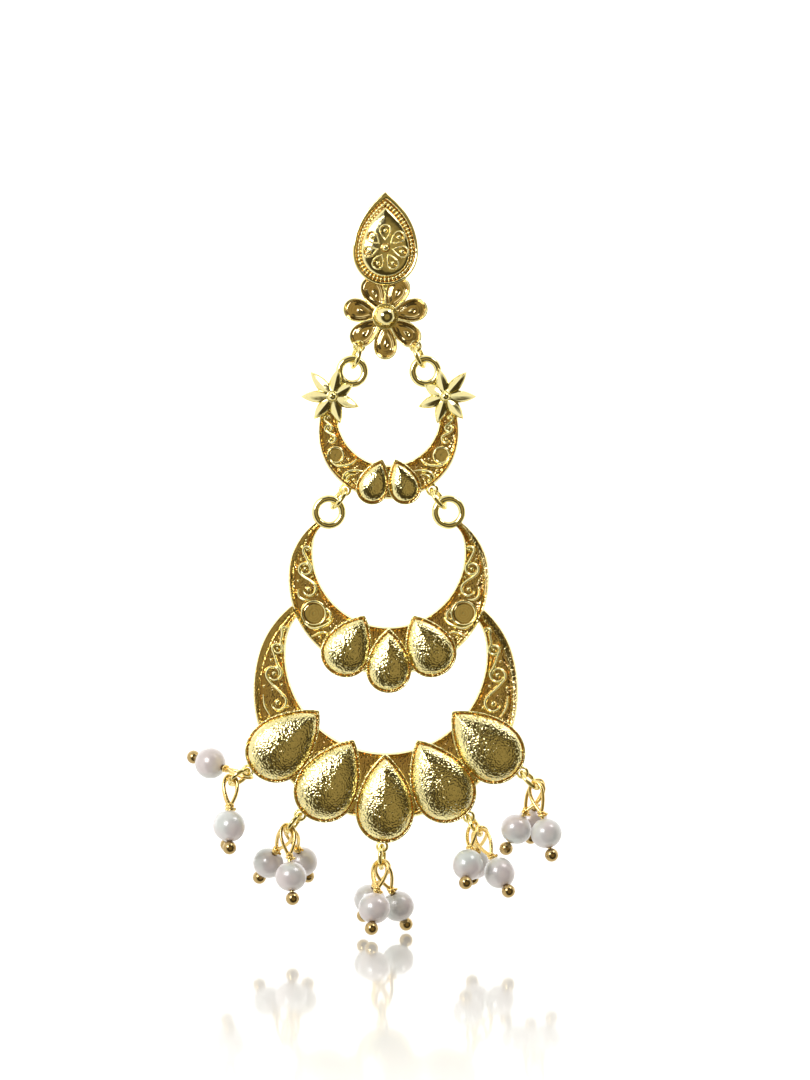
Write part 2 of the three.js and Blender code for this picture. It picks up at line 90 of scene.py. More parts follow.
class Corner(NamedTuple):
    """One corner of a ring: its place, and how much dark waxing with painted shade it has, from 0
    to 1.
    """

    place: Vector
    wax_and_shade: float = 0.0


Ring = list[Corner]


class Level(NamedTuple):
    """One step of a raised form: how far in from its outline, how far back, and its dark waxing
    with painted shade.
    """

    inset: float
    y: float
    wax_and_shade: float = 0.0


class Eye(NamedTuple):
    """A small eye: its place, and the lean and yaw in degrees of the ring that hangs in it."""

    x: float
    z: float
    lean: float
    yaw: float


class Loop(NamedTuple):
    """A round loop at a horn: its place, and the radii of its hole and of its outside."""

    x: float
    z: float
    hole: float
    outside: float


class Layer(NamedTuple):
    """The depths of a casting: its flat back, its floor and the top of its rim."""

    back: float
    floor: float
    rim: float

    def at(self, share: float) -> float:
        """Gives the depth at a share of the way from the back to the rim."""
        return self.back + (self.rim - self.back) * share


FRONT = Layer(back=0.0, floor=-0.5, rim=-1.0)
REAR = Layer(back=1.2, floor=0.75, rim=0.3)
FLOWER_EYES = (Eye(-3.3, -12.3, -17, -15), Eye(3.75, -12.3, 22, 15))
FLOWER_EYE_Y = -0.425
CRESCENT_EYES = (Eye(-5.46, -30.25, -36, -15), Eye(5.46, -30.25, 36, 15))
BUNCH_EYES = (Eye(-17.2, -65.5, -52, 22), Eye(-10.6, -71, -36, 12), Eye(-0.3, -74.85, -1, 10),
              Eye(10.5, -71.05, 34, 12), Eye(17.2, -65.5, 46, 14))


def flat(x: float, z: float) -> Vector:
    """Gives a point of the drawing plane."""
    return Vector((x, 0.0, z))


def turned_to(degrees: float, x: float, z: float, y: float = 0.0) -> Matrix:
    """Gives a turn about Y followed by a move."""
    return Matrix.Translation((x, y, z)) @ Matrix.Rotation(math.radians(degrees), 4, "Y")


def forward(depth: float) -> Matrix:
    """Gives a move towards the front."""
    return Matrix.Translation((0, -depth, 0))


def fan(count: int, z: float, step: float = 0.0) -> list[Matrix]:
    """Gives the turns of petals round a point of the middle line, each a step further forward."""
    return [turned_to(360 * i / count, 0, z, -step * i) for i in range(count)]


def round_turns(sides: int) -> list[float]:
    """Gives the angles of even steps round a full turn, in radians."""
    return [2 * math.pi * i / sides for i in range(sides)]


def levels_from(base: float, rows: Sequence[Triple]) -> list[Level]:
    """Gives the levels of a table whose depths are measured from a base depth."""
    return [Level(inset, base + y, wax_and_shade) for inset, y, wax_and_shade in rows]


def arc(x: float, z: float, radius: float, start: float, end: float, steps: int) -> list[Vector]:
    """Gives the points of an arc.

    Args:
        x: Centre of the arc across.
        z: Centre of the arc in height.
        radius: Radius of the arc.
        start: Angle of the first point in degrees, from +X towards +Z.
        end: Angle of the last point in degrees.
        steps: Number of steps between the two.

    Returns:
        The points, one more than the steps.
    """
    angles = [math.radians(start + (end - start) * i / steps) for i in range(steps + 1)]
    return [flat(x + radius * math.cos(a), z + radius * math.sin(a)) for a in angles]


def bend(start: Vector, control: Vector, end: Vector, steps: int) -> list[Vector]:
    """Gives the points of a quadratic bend from a start to an end."""
    shares = [i / steps for i in range(steps + 1)]
    return [start * (1 - t) ** 2 + control * 2 * t * (1 - t) + end * t * t for t in shares]


def spaced(points: Sequence[Vector], count: int) -> list[Vector]:
    """Lays points evenly along a line.

    Args:
        points: The line's corners in order.
        count: How many points to lay, the two ends included.

    Returns:
        The evenly spaced points.
    """
    lengths = [0.0]
    for before, after in zip(points, points[1:]):
        lengths.append(lengths[-1] + (after - before).length)
    laid, i = [], 0
    for k in range(count):
        along = lengths[-1] * k / (count - 1)
        while i < len(points) - 2 and lengths[i + 1] < along:
            i += 1
        part = (along - lengths[i]) / max(lengths[i + 1] - lengths[i], 1e-9)
        laid.append(points[i].lerp(points[i + 1], min(1.0, part)))
    return laid


def mirrored(points: Sequence[Vector]) -> list[Vector]:
    """Gives points mirrored from the right side to the left."""
    return [Vector((-p.x, p.y, p.z)) for p in points]


HOOK_X, HOOK_Z = 10.05, -44.1
DROP = Matrix.Translation((0.4, 0, 0))
LOWER_DROP = turned_to(0.4, 0.1, HOOK_Z) @ Matrix.Translation((0, 0, -HOOK_Z))


# ---------------------------------------------------------------- bench tools


def clear_selection() -> None:
    """Lets go of whatever is selected."""
    bpy.ops.object.select_all(action="DESELECT")


def lay_face(form: Form, ring: Ring) -> None:
    """Lays the corners of the selected face on the places of a ring, with their dark waxing and
    painted shade.
    """
    mesh = bmesh.from_edit_mesh(form.data)
    wax_and_shade = mesh.verts.layers.float[WAX_AND_SHADE]
    face = next(f for f in mesh.faces if f.select)
    for loop, corner in zip(face.loops, ring):
        loop.vert.co = corner.place
        loop.vert[wax_and_shade] = corner.wax_and_shade
    bmesh.update_edit_mesh(form.data)


def drawn_through(rings: Sequence[Ring]) -> Form:
    """Draws a closed form out of one flat face, extruded once for each ring.

    Args:
        rings: The rings in order, all with the same number of corners.

    Returns:
        The closed form, with its normals outwards.
    """
    clear_selection()
    bpy.ops.mesh.primitive_circle_add(vertices=len(rings[0]), fill_type="NGON")
    form = bpy.context.object
    form.data.attributes.new(WAX_AND_SHADE, "FLOAT", "POINT")
    bpy.ops.object.mode_set(mode="EDIT")
    lay_face(form, rings[0])
    for ring in rings[1:]:
        bpy.ops.mesh.extrude_region_move()
        lay_face(form, ring)
    bpy.ops.mesh.select_all(action="SELECT")
    bpy.ops.mesh.remove_doubles(threshold=1e-4)
    bpy.ops.mesh.normals_make_consistent(inside=False)
    bpy.ops.object.mode_set(mode="OBJECT")
    return form


def turned_form(profile: Sequence[Triple], sides: int) -> Form:
    """Turns a form about the Y axis.

    Args:
        profile: The radius, the depth and the dark waxing with painted shade of each of its edges.
        sides: How many sides it has.

    Returns:
        The form.
    """
    turns = round_turns(sides)
    return drawn_through([
        [Corner(Vector((radius * math.cos(a), y, radius * math.sin(a))), wax_and_shade) for a in turns]
        for radius, y, wax_and_shade in profile])


def wax_and_shade_by_place(form: Form, amount: Callable[[Vector], float]) -> Form:
    """Marks dark waxing and painted shade on each point of a form by its place.

    Args:
        form: The form to mark.
        amount: Gives the waxing and painted shade, from 0 to 1, at a place.

    Returns:
        The same form.
    """
    found = form.data.attributes.get(WAX_AND_SHADE)
    layer = found or form.data.attributes.new(WAX_AND_SHADE, "FLOAT", "POINT")
    layer.data.foreach_set("value", [amount(v.co) for v in form.data.vertices])
    return form


def hammered_all_over(form: Form, depth: float) -> Form:
    """Marks how deep the hammer's marks are, from 0 to 1, all over a form."""
    marks = form.data.attributes.new(HAMMERED, "FLOAT", "POINT")
    marks.data.foreach_set("value", [depth] * len(form.data.vertices))
    return form


def wax_and_shade_between(low: float, high: float) -> Callable[[Vector], float]:
    """Gives an amount of waxing and painted shade that falls from 1 at the depth low to 0 at the
    depth high.
    """
    return lambda place: max(0.0, min(1.0, (place.y - high) / (low - high)))


def waxed_and_shaded_low(form: Form, floor: float) -> Form:
    """Marks dark waxing and painted shade on the low parts of a form that stands on a floor,
    darkest at its foot.
    """
    return wax_and_shade_by_place(form, wax_and_shade_between(floor - 0.02, floor - 0.2))


def shaped_by(form: Form, matrix: Matrix) -> Form:
    """Moves the mesh of a form, and turns it right side out again if the matrix mirrors it."""
    form.data.transform(matrix)
    if matrix.determinant() < 0:
        form.data.flip_normals()
    return form


def copy_of(form: Form, matrix: Matrix) -> Form:
    """Copies a form with a mesh of its own, and moves the copy's mesh."""
    twin = form.copy()
    twin.data = form.data.copy()
    bpy.context.scene.collection.objects.link(twin)
    return shaped_by(twin, matrix)


def copies_of(form: Form, places: Sequence[Matrix]) -> list[Form]:
    """Copies a form to each place and takes the pattern itself away."""
    made = [copy_of(form, place) for place in places]
    bpy.data.objects.remove(form)
    return made


def joined(name: str, forms: Sequence[Form]) -> Form:
    """Joins forms into one piece.

    Args:
        name: The name of the piece.
        forms: The forms, of which the first takes in the others.

    Returns:
        The joined piece.
    """
    clear_selection()
    for form in forms:
        if WAX_AND_SHADE not in form.data.attributes:
            form.data.attributes.new(WAX_AND_SHADE, "FLOAT", "POINT")
        form.select_set(True)
    bpy.context.view_layer.objects.active = forms[0]
    if len(forms) > 1:
        bpy.ops.object.join()
    forms[0].name = forms[0].data.name = name
    return forms[0]


def ball(radius: float, place: Vector, segments: int = 16, rings: int = 10) -> Form:
    """Gives a round ball at a place."""
    clear_selection()
    bpy.ops.mesh.primitive_uv_sphere_add(segments=segments, ring_count=rings, radius=radius,
                                         location=place)
    bpy.ops.object.transform_apply(location=True, rotation=False, scale=False)
    return bpy.context.object


def round_ring(radius: float, wire: float, place: Vector, depth: float = 1.0,
               steps: int = 40, sides: int = 12) -> Form:
    """Gives a ring of round wire that faces the front.

    Args:
        radius: Radius of the middle of the wire.
        wire: Radius of the wire itself.
        place: Centre of the ring.
        depth: How far the wire's section is stretched from front to back.
        steps: Steps round the ring.
        sides: Sides of the wire.

    Returns:
        The ring.
    """
    clear_selection()
    bpy.ops.mesh.primitive_torus_add(major_radius=radius, minor_radius=wire, major_segments=steps,
                                     minor_segments=sides, rotation=(math.pi / 2, 0, 0))
    ring = bpy.context.object
    ring.scale = (1, 1, depth)
    bpy.ops.object.transform_apply(location=False, rotation=True, scale=True)
    return shaped_by(ring, Matrix.Translation(place))


def lug(eye: Eye, y: float) -> Form:
    """Makes the small eye that a jump ring hangs in."""
    radius, wire, depth = 0.65, 0.17, 1.47
    return round_ring(radius, wire, Vector((eye.x, y, eye.z)), depth, steps=28)


def wire_along(points: Sequence[Vector], radius: float, closed: bool = False, steps: int = 5,
               taper: Callable[[float], float] | None = None) -> Form:
    """Bends a round wire along points.

    Args:
        points: The points that the wire goes through.
        radius: Radius of the wire.
        closed: Whether the wire's end meets its start.
        steps: Steps between two points.
        taper: Gives the share of the radius at a share of the length, or None for an even wire.

    Returns:
        The wire as a mesh.
    """
    clear_selection()
    bpy.ops.curve.primitive_bezier_curve_add()
    wire = bpy.context.object
    curve, spline = wire.data, wire.data.splines[0]
    spline.bezier_points.add(len(points) - 2)
    for i, (knot, place) in enumerate(zip(spline.bezier_points, points)):
        knot.co = place
        knot.handle_left_type = knot.handle_right_type = "AUTO"
        knot.radius = taper(i / (len(points) - 1)) if taper else 1.0
    spline.use_cyclic_u = closed
    curve.resolution_u = steps
    curve.bevel_depth = radius
    curve.bevel_resolution = WIRE_SECTION
    curve.use_fill_caps = not closed
    bpy.ops.object.convert(target="MESH")
    return bpy.context.object


def smooth(piece: Form) -> None:
    """Shades a piece smooth, with its sharper edges left crisp."""
    clear_selection()
    piece.select_set(True)
    bpy.context.view_layer.objects.active = piece
    bpy.ops.object.shade_smooth_by_angle(angle=SHARPEST_SMOOTH)


def hand_over(piece: Form, node: str, finish: Finish,
              place: Matrix | None = None) -> Form:
    """Puts a finished piece into the frame, in the stead of its CAD node.

    Args:
        piece: The piece, in millimetres.
        node: The CAD node that it stands for.
        finish: The material that it wears.
        place: Where the piece hangs, in millimetres, or None where it is already in place.

    Returns:
        The piece, in metres.
    """
    piece.data.transform(Matrix.Scale(METRES, 4) @ (place or Matrix.Identity(4)))
    smooth(piece)
    piece.data.materials.clear()
    piece.data.materials.append(finish)
    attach(piece, frame["nodes"][node]["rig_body"])
    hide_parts(node)
    LOG.info("%s stands for %s", piece.name, node)
    return piece


# ---------------------------------------------------------------- pears and petals

PEAR_BACK = ((0.02, -0.1, 0), (0, -0.16, 0))
PEAR_RIM = ((0, 0.13, 0), (0.03, 0.04, 0), (0.09, 0, 0), (0.16, 0.01, 0), (0.2, 0.06, 0.2))
PEAR_GROOVE = ((0.23, -0.03, 1), (0.28, -0.02, 1), (0.31, -0.12, 0.1))


def swell_at(angle: float, shoulder: float) -> float:
    """Gives the half width of a pear shape, as a share of its widest.

    Args:
        angle: The angle round the shape from its point, in radians.
        shoulder: How full the shoulders are: 1 for straight flanks at the point, less for round.

    Returns:
        The share, negative on the far side.
    """
    widest = math.acos(-shoulder / (2 + shoulder))
    fullest = math.sin(widest) * math.sin(widest / 2) ** shoulder
    return math.sin(angle) * abs(math.sin(angle / 2)) ** shoulder / fullest


@dataclass(frozen=True)
class PearOutline:
    """A pear or petal outline with its point at the origin and its round end below."""

    length: float
    width: float
    sides: int = 64
    shoulder: float = 0.7

    @property
    def middle(self) -> Vector:
        """The point that the outline is drawn in to."""
        return flat(0.0, -self.length * 0.6)

    def ring(self, level: Level) -> Ring:
        """Gives the outline drawn in and set back to a level."""
        share = max(0.0, 1 - level.inset / (self.width / 2))
        corners = []
        for angle in round_turns(self.sides):
            half = swell_at(angle, self.shoulder) * self.width / 2
            edge = flat(-half, -self.length * (1 - math.cos(angle)) / 2)
            place = self.middle + (edge - self.middle) * share
            corners.append(Corner(place + Vector((0, level.y, 0)), level.wax_and_shade))
        return corners


@dataclass
class Pear:
    """A high pear-shaped boss with a thin rim, and a waxed groove between the two."""

    x: float
    z: float
    tilt: float
    length: float
    width: float
    stand: float = 0.35
    rise: float = 0.21
    groove: float = 0.2
    steps: int = 14
    hammered: float = 0.8

    def build(self, layer: Layer) -> Form:
        """Draws the pear up from the back of its layer.

        Args:
            layer: The depths of the casting that carries it.

        Returns:
            The pear in its place.
        """
        front = layer.rim - self.stand
        foot, height, half = front + self.groove, self.width * self.rise, self.width / 2
        levels = [*levels_from(layer.back, PEAR_BACK), *levels_from(front, PEAR_RIM),
                  *levels_from(foot, PEAR_GROOVE)]
        edge = levels[-1].inset
        for i in range(2, self.steps + 1):
            angle = math.radians(90 * i / self.steps)
            inset = half - (half - edge) * math.cos(angle)
            levels.append(Level(inset, foot - height * math.sin(angle)))
        outline = PearOutline(self.length, self.width)
        pear = drawn_through([outline.ring(level) for level in levels])
        hammered_all_over(pear, self.hammered)
        return shaped_by(pear, turned_to(-self.tilt, self.x, self.z))


def pears_on_both_sides(pears: Sequence[Pear], layer: Layer) -> list[Form]:
    """Builds each pear, and its twin on the other side unless it stands in the middle.

    Args:
        pears: The pears of the right side and the middle.
        layer: The depths of the casting that carries them.

    Returns:
        The pears, each a hair further forward than the last, so that no two backs lie in one plane.
    """
    made = []
    for i, pear in enumerate(pears):
        made.append(shaped_by(pear.build(layer), forward(PEAR_STEP * i)))
        if pear.x:
            made.append(copy_of(made[-1], forward(TWIN_STEP) @ MIRROR))
    return made


# ---------------------------------------------------------------- stud

# In these tables the third column is dark waxing, which also paints the shade in the bead channel
# and in the petals' grooves.
PLATE_BACK = ((0.03, 0, 0), (0, -0.06, 0))
PLATE_RIM = ((0, 0.22, 0), (0.04, 0.08, 0), (0.14, 0, 0), (0.3, 0.01, 0), (0.42, 0.08, 0.1))
PLATE_CHANNEL = ((0.5, -0.02, 0.9), (0.6, 0, 1), (0.98, 0, 1))
PETAL_BACK = ((0.04, -0.1, 0), (0, -0.15, 0))
PETAL_RIM = ((0, 0.16, 0), (0.04, 0.04, 0), (0.1, 0, 0), (0.17, 0.04, 0), (0.24, 0.2, 0.5))
PETAL_GROOVES = ((0.34, 0.3, 0.7), (0.44, 0.26, 0.25), (0.54, 0.31, 0.7), (0.66, 0.27, 0.25),
                 (0.76, 0.33, 0.7), (0.88, 0.29, 0.25), (1.0, 0.34, 0.7), (1.12, 0.31, 0.25),
                 (1.22, 0.36, 0.9), (1.3, 0.3, 0.1), (1.42, 0.25, 0))


@dataclass
class Stud:
    """The pear-shaped stud plate with its beaded border and rosette, and the flower below it."""

    tip_z: float = 7.0
    wide_z: float = -0.65
    half_width: float = 4.1
    arch_z: float = 3.8
    rim: float = -1.2
    channel: float = -0.95
    beads: int = 52
    bead: float = 0.25
    bead_inset: float = 0.78
    dome_inset: float = 1.04
    dome_foot: float = 0.05
    dome_rise: float = 0.85
    dome_steps: int = 14
    rosette_z: float = -0.1
    rosette_petals: int = 7
    rosette_ring: float = 2.2
    rosette_wire: float = 0.14
    rosette_bead: float = 0.31
    rosette_middle: float = 0.46
    flower_z: float = -8.6
    petals: int = 7
    petal_root: float = 0.3
    petal_reach: float = 5.4
    petal_width: float = 2.95
    petal_front: float = -0.85
    hub: float = 1.34
    hub_y: float = -1.15
    collar: float = 1.5
    collar_wire: float = 0.15
    collar_y: float = -1.0
    web_back: float = -0.3
    web_sunk: float = 0.32
    web_low: float = 1.2
    web_high: float = 4.3
    web_half_low: float = 0.3
    web_half_high: float = 1.25
    web_ridge: float = 0.17

    def outline(self, steps: int = 24) -> list[Vector]:
        """Gives the outline of the plate: a round foot that rises in a pointed arch."""
        foot = arc(0, self.wide_z, self.half_width, -90, 0, steps)
        control = flat(self.half_width, self.arch_z)
        arch = bend(flat(self.half_width, self.wide_z), control, flat(0, self.tip_z), steps)
        right = foot + arch[1:]
        return right + mirrored(right[1:-1])[::-1]

    def ring(self, level: Level) -> Ring:
        """Gives the plate's outline drawn in and set back to a level."""
        share = max(0.0, 1 - level.inset / self.half_width)
        middle = flat(0, self.wide_z)
        lift = Vector((0, level.y, 0))
        return [Corner(middle + (p - middle) * share + lift, level.wax_and_shade) for p in self.outline()]

    def plate(self) -> Form:
        """Draws the plate with its smooth rim, the channel for the beads and the domed field."""
        foot = self.channel - self.dome_foot
        # The bead channel and the dome's foot take dark waxing with painted shade, which fades out
        # up the dome.
        levels = [*levels_from(0, PLATE_BACK), *levels_from(self.rim, PLATE_RIM),
                  *levels_from(self.channel, PLATE_CHANNEL), Level(self.dome_inset, foot, 0.6)]
        for i in range(1, self.dome_steps + 1):
            angle = math.radians(90 * i / self.dome_steps)
            inset = self.half_width - (self.half_width - self.dome_inset) * math.cos(angle)
            y = foot - self.dome_rise * math.sin(angle) ** 0.8
            levels.append(Level(inset, y, max(0, 0.3 - i / 10)))
        return drawn_through([self.ring(level) for level in levels])

    def border(self) -> list[Form]:
        """Sets the row of small beads in its channel."""
        share = 1 - self.bead_inset / self.half_width
        middle = flat(0, self.wide_z)
        line = [middle + (p - middle) * share for p in self.outline(40)]
        places = spaced(line + line[:1], self.beads + 1)[:-1]
        # Painted shade with waxing at the foot of each bead.
        bead = wax_and_shade_by_place(ball(self.bead, Vector((0, self.channel - 0.03, 0)), 10, 8),
                            wax_and_shade_between(self.channel + 0.02, self.channel - 0.12))
        return copies_of(bead, [Matrix.Translation(p) for p in places])

    def dome_front(self, radius: float) -> float:
        """Gives the depth of the domed field at a distance from its middle, near the rosette."""
        share = min(1.0, radius / (self.half_width - self.dome_inset))
        return self.channel - self.dome_foot - self.dome_rise * (1 - share * share) ** 0.4

    def rosette(self) -> list[Form]:
        """Lays the small rosette on the field: wire loops, each round a bead, about one bead."""
        depth = self.dome_front(self.rosette_ring) - 0.16
        outline = PearOutline(length=1.85, width=1.3, sides=20, shoulder=1.0).ring(Level(0, 0))
        loop = wire_along([c.place for c in outline], self.rosette_wire, closed=True, steps=3)
        loop.data.transform(Matrix.Diagonal((1, 1.6, 1, 1)))
        loop.data.transform(turned_to(180, 0, 0.98, depth))
        eye = ball(self.rosette_bead, Vector((0, depth - 0.02, self.rosette_ring - 0.05)), 14, 10)
        # Painted shade with waxing at the foot of each rosette loop.
        petal = wax_and_shade_by_place(joined("rosette_petal", [loop, eye]),
                             wax_and_shade_between(depth + 0.1, depth - 0.12))
        top = self.channel - self.dome_rise
        middle = ball(self.rosette_middle, Vector((0, top - 0.12, self.rosette_z)))
        seat = round_ring(0.52, 0.1, Vector((0, top + 0.02, self.rosette_z)), steps=24)
        wax_and_shade_by_place(seat, lambda _: 0.8)
        return copies_of(petal, fan(self.rosette_petals, self.rosette_z)) + [middle, seat]

    def flower(self) -> list[Form]:
        """Builds the seven dished petals, the domed hub and the wire collar round it."""
        levels = [*levels_from(0, PETAL_BACK), *levels_from(self.petal_front, PETAL_RIM),
                  *levels_from(self.petal_front, PETAL_GROOVES)]
        outline = PearOutline(self.petal_reach - self.petal_root, self.petal_width, 48, 1.0)
        petal = drawn_through([outline.ring(level) for level in levels])
        petal.data.transform(Matrix.Translation((0, 0, -self.petal_root)))
        hub = ball(self.hub, Vector((0, self.hub_y, self.flower_z)), 32, 20)
        middle = Vector((0, self.collar_y, self.flower_z))
        collar = round_ring(self.collar, self.collar_wire, middle)
        return copies_of(petal, fan(self.petals, self.flower_z, LEAF_STEP)) + [hub, collar]

    def web(self) -> list[Form]:
        """Fills the gap between the two upper petals, and sets a small upright ridge in it."""
        low, high = self.flower_z + self.web_low, self.flower_z + self.web_high
        foot, top, front = self.web_half_low, self.web_half_high, self.petal_front + self.web_sunk
        corners = [(-foot, low), (foot, low), (top, high), (-top, high)]
        sheet = drawn_through([[Corner(Vector((x, y, z)), 0.6) for x, z in corners]
                               for y in (self.web_back, front)])
        ridge = wire_along([flat(0, low), flat(0, (low + high) / 2), flat(0, high)], self.web_ridge)
        ridge.data.transform(Matrix.Translation((0, front - 0.02, 0)))
        return [sheet, ridge]

    def build(self) -> Form:
        """Joins the whole stud casting."""
        lugs = [lug(eye, FLOWER_EYE_Y) for eye in FLOWER_EYES]
        return joined("stud_finished", [self.plate(), *self.border(), *self.rosette(),
                                        *self.flower(), *self.web(), *lugs])


@dataclass
class EarPost:
    """The plain post behind the stud, with a rounded end and a shallow notch for its nut."""

    sides: int = 24
    profile: tuple[Triple, ...] = (
        (0.42, 0.0, 0), (0.42, 0.4, 0), (0.4, 0.5, 0), (0.4, 7.9, 0), (0.34, 8.1, 0),
        (0.34, 8.5, 0), (0.4, 8.7, 0), (0.41, 9.9, 0), (0.36, 10.25, 0), (0.22, 10.44, 0),
        (0.0, 10.5, 0))

    def build(self) -> Form:
        """Draws the post back from the stud."""
        return joined("ear_post_finished", [turned_form(self.profile, self.sides)])


# ---------------------------------------------------------------- crescents

# In these tables the third column is dark waxing, which also paints the shade in the grooves of the
# rims.
DISC_EDGE = ((1.0, 0.1, 0), (1.0, -0.04, 0.8), (0.86, -0.02, 0.8))
CHAMFER = ((0.0, 0.1, 0), (0.0, 0.3, 0), (0.09, 0.6, 0), (0.18, 0.86, 0), (0.25, 0.98, 0))
DOUBLE_RIM = ((0.0, 0.1, 0), (0.0, 0.3, 0), (0.08, 0.6, 0), (0.16, 0.86, 0), (0.22, 0.98, 0),
              (0.27, 0.98, 0), (0.33, 0.7, 0.8), (0.38, 0.7, 0.8), (0.44, 0.9, 0), (0.52, 0.97, 0),
              (0.6, 0.84, 0.2), (0.65, 0.54, 1), (0.69, 0.47, 0.8))
INNER_LIP = ((0.74, 0.46, 0.8), (0.69, 0.52, 1), (0.65, 0.74, 0.2), (0.57, 0.88, 0),
             (0.49, 0.8, 0.1), (0.44, 0.62, 0.9), (0.4, 0.66, 0.6), (0.36, 0.86, 0), (0.3, 0.98, 0),
             *CHAMFER[::-1])
BAND_BACK = (0.06, 0.0, 0)


@dataclass(frozen=True)
class Curl:
    """One eye of the scroll relief, on the right side of a crescent."""

    x: float
    z: float
    radius: float

    def point(self, degrees: float, share: float = 1.0) -> Vector:
        """Gives a point round the eye, at a share of its radius."""
        turn, reach = math.radians(degrees), self.radius * share
        return flat(self.x + reach * math.cos(turn), self.z + reach * math.sin(turn))

    def wound(self, start: float, end: float, first: float, last: float) -> list[Vector]:
        """Winds from one angle and share of the eye's radius to another angle and share."""
        shares = [i / 9 for i in range(10)]
        return [self.point(start + (end - start) * t, first + (last - first) * t) for t in shares]

    def scroll_to(self, lower: "Curl") -> list[Vector]:
        """Gives the line of a scroll out of this eye and into the one below it."""
        return self.wound(205, -45, 0.6, 1.0) + lower.wound(125, 345, 1.0, 0.7)


@dataclass(frozen=True)
class Disc:
    """A dished, brushed disc of the relief inside a ring of wire."""

    x: float
    z: float
    radius: float

    def build(self, floor: float) -> list[Form]:
        """Turns the disc and lays its ring.

        Args:
            floor: The depth of the band's floor.

        Returns:
            The disc and the ring.
        """
        # The sunken rings of the brushed disc take waxing with painted shade, the raised rings very
        # little.
        brushed = [(0.8 - 0.1 * i, -0.075 if i % 2 else -0.055, 0.05 if i % 2 else 0.4)
                   for i in range(8)]
        profile = [(self.radius * share, y, wax_and_shade) for share, y, wax_and_shade in (*DISC_EDGE, *brushed)]
        disc = shaped_by(turned_form(profile, 40), Matrix.Translation((self.x, floor, self.z)))
        hoop = round_ring(self.radius, 0.2, Vector((self.x, floor - 0.06, self.z)), 1.5)
        # Painted shade with waxing where the hoop meets the floor.
        return [disc, waxed_and_shaded_low(hoop, floor)]


@dataclass(frozen=True)
class Relief:
    """The relief on one side of a crescent: linked eyes, discs, loose wires and small dots."""

    curls: tuple[Curl, ...] = ()
    discs: tuple[Disc, ...] = ()
    wires: tuple[tuple[tuple[float, float], ...], ...] = ()
    dots: tuple[Triple, ...] = ()
    wire: float = 0.27
    stretch: float = 1.8

    def laid(self, points: Sequence[Vector], floor: float) -> Form:
        """Lays one wire on the floor."""
        wire = wire_along(points, self.wire, steps=3,
                          taper=lambda t: 1.0 - 0.4 * abs(2 * t - 1) ** 3)
        wire.data.transform(Matrix.Translation((0, floor - 0.08, 0))
                            @ Matrix.Diagonal((1, self.stretch, 1, 1)))
        # Painted shade with waxing where the wire meets the floor.
        return waxed_and_shaded_low(wire, floor)

    def build(self, floor: float) -> list[Form]:
        """Lays the whole relief on one side.

        Args:
            floor: The depth of the band's floor.

        Returns:
            The forms of the relief.
        """
        made = [self.laid(upper.scroll_to(lower), floor)
                for upper, lower in zip(self.curls, self.curls[1:])]
        made += [self.laid([flat(*place) for place in line], floor) for line in self.wires]
        for disc in self.discs:
            made += disc.build(floor)
        hearts = [(c.x, c.z, max(0.24, c.radius * 0.36)) for c in self.curls]
        for x, z, radius in (*hearts, *self.dots):
            made.append(ball(radius, Vector((x, floor - 0.12, z)), 12, 8))
        return made


@dataclass
class Horn:
    """The shape of one crescent: its two circles, and the points and angles of its horns."""

    outer_z: float
    outer_r: float
    inner_z: float
    inner_r: float
    outer_angle: float
    inner_angle: float
    outer_tip: tuple[float, float]
    inner_tip: tuple[float, float]
    stations: int = 80

    def edge(self, z: float, radius: float, angle: float, tip: tuple[float, float]) -> list[Vector]:
        """Gives the right half of one edge, from the bottom to the horn's tip."""
        round_part = arc(0, z, radius, -90, angle, 90)
        start, end = round_part[-1], flat(*tip)
        turn = math.radians(angle)
        control = start + flat(-math.sin(turn), math.cos(turn)) * ((end - start).length / 2)
        return spaced(round_part + bend(start, control, end, 24)[1:], self.stations)

    def edges(self) -> list[tuple[Vector, Vector]]:
        """Gives pairs of points, outer and inner, from the left horn to the right."""
        outer = self.edge(self.outer_z, self.outer_r, self.outer_angle, self.outer_tip)
        inner = self.edge(self.inner_z, self.inner_r, self.inner_angle, self.inner_tip)
        right = list(zip(outer, inner))
        left = list(zip(mirrored(outer[1:]), mirrored(inner[1:])))
        return left[::-1] + right


class RimStyle(Enum):
    """How the outer rim of a crescent is cut."""

    DOUBLE = "two thin lines"
    BROAD = "one broad slope"


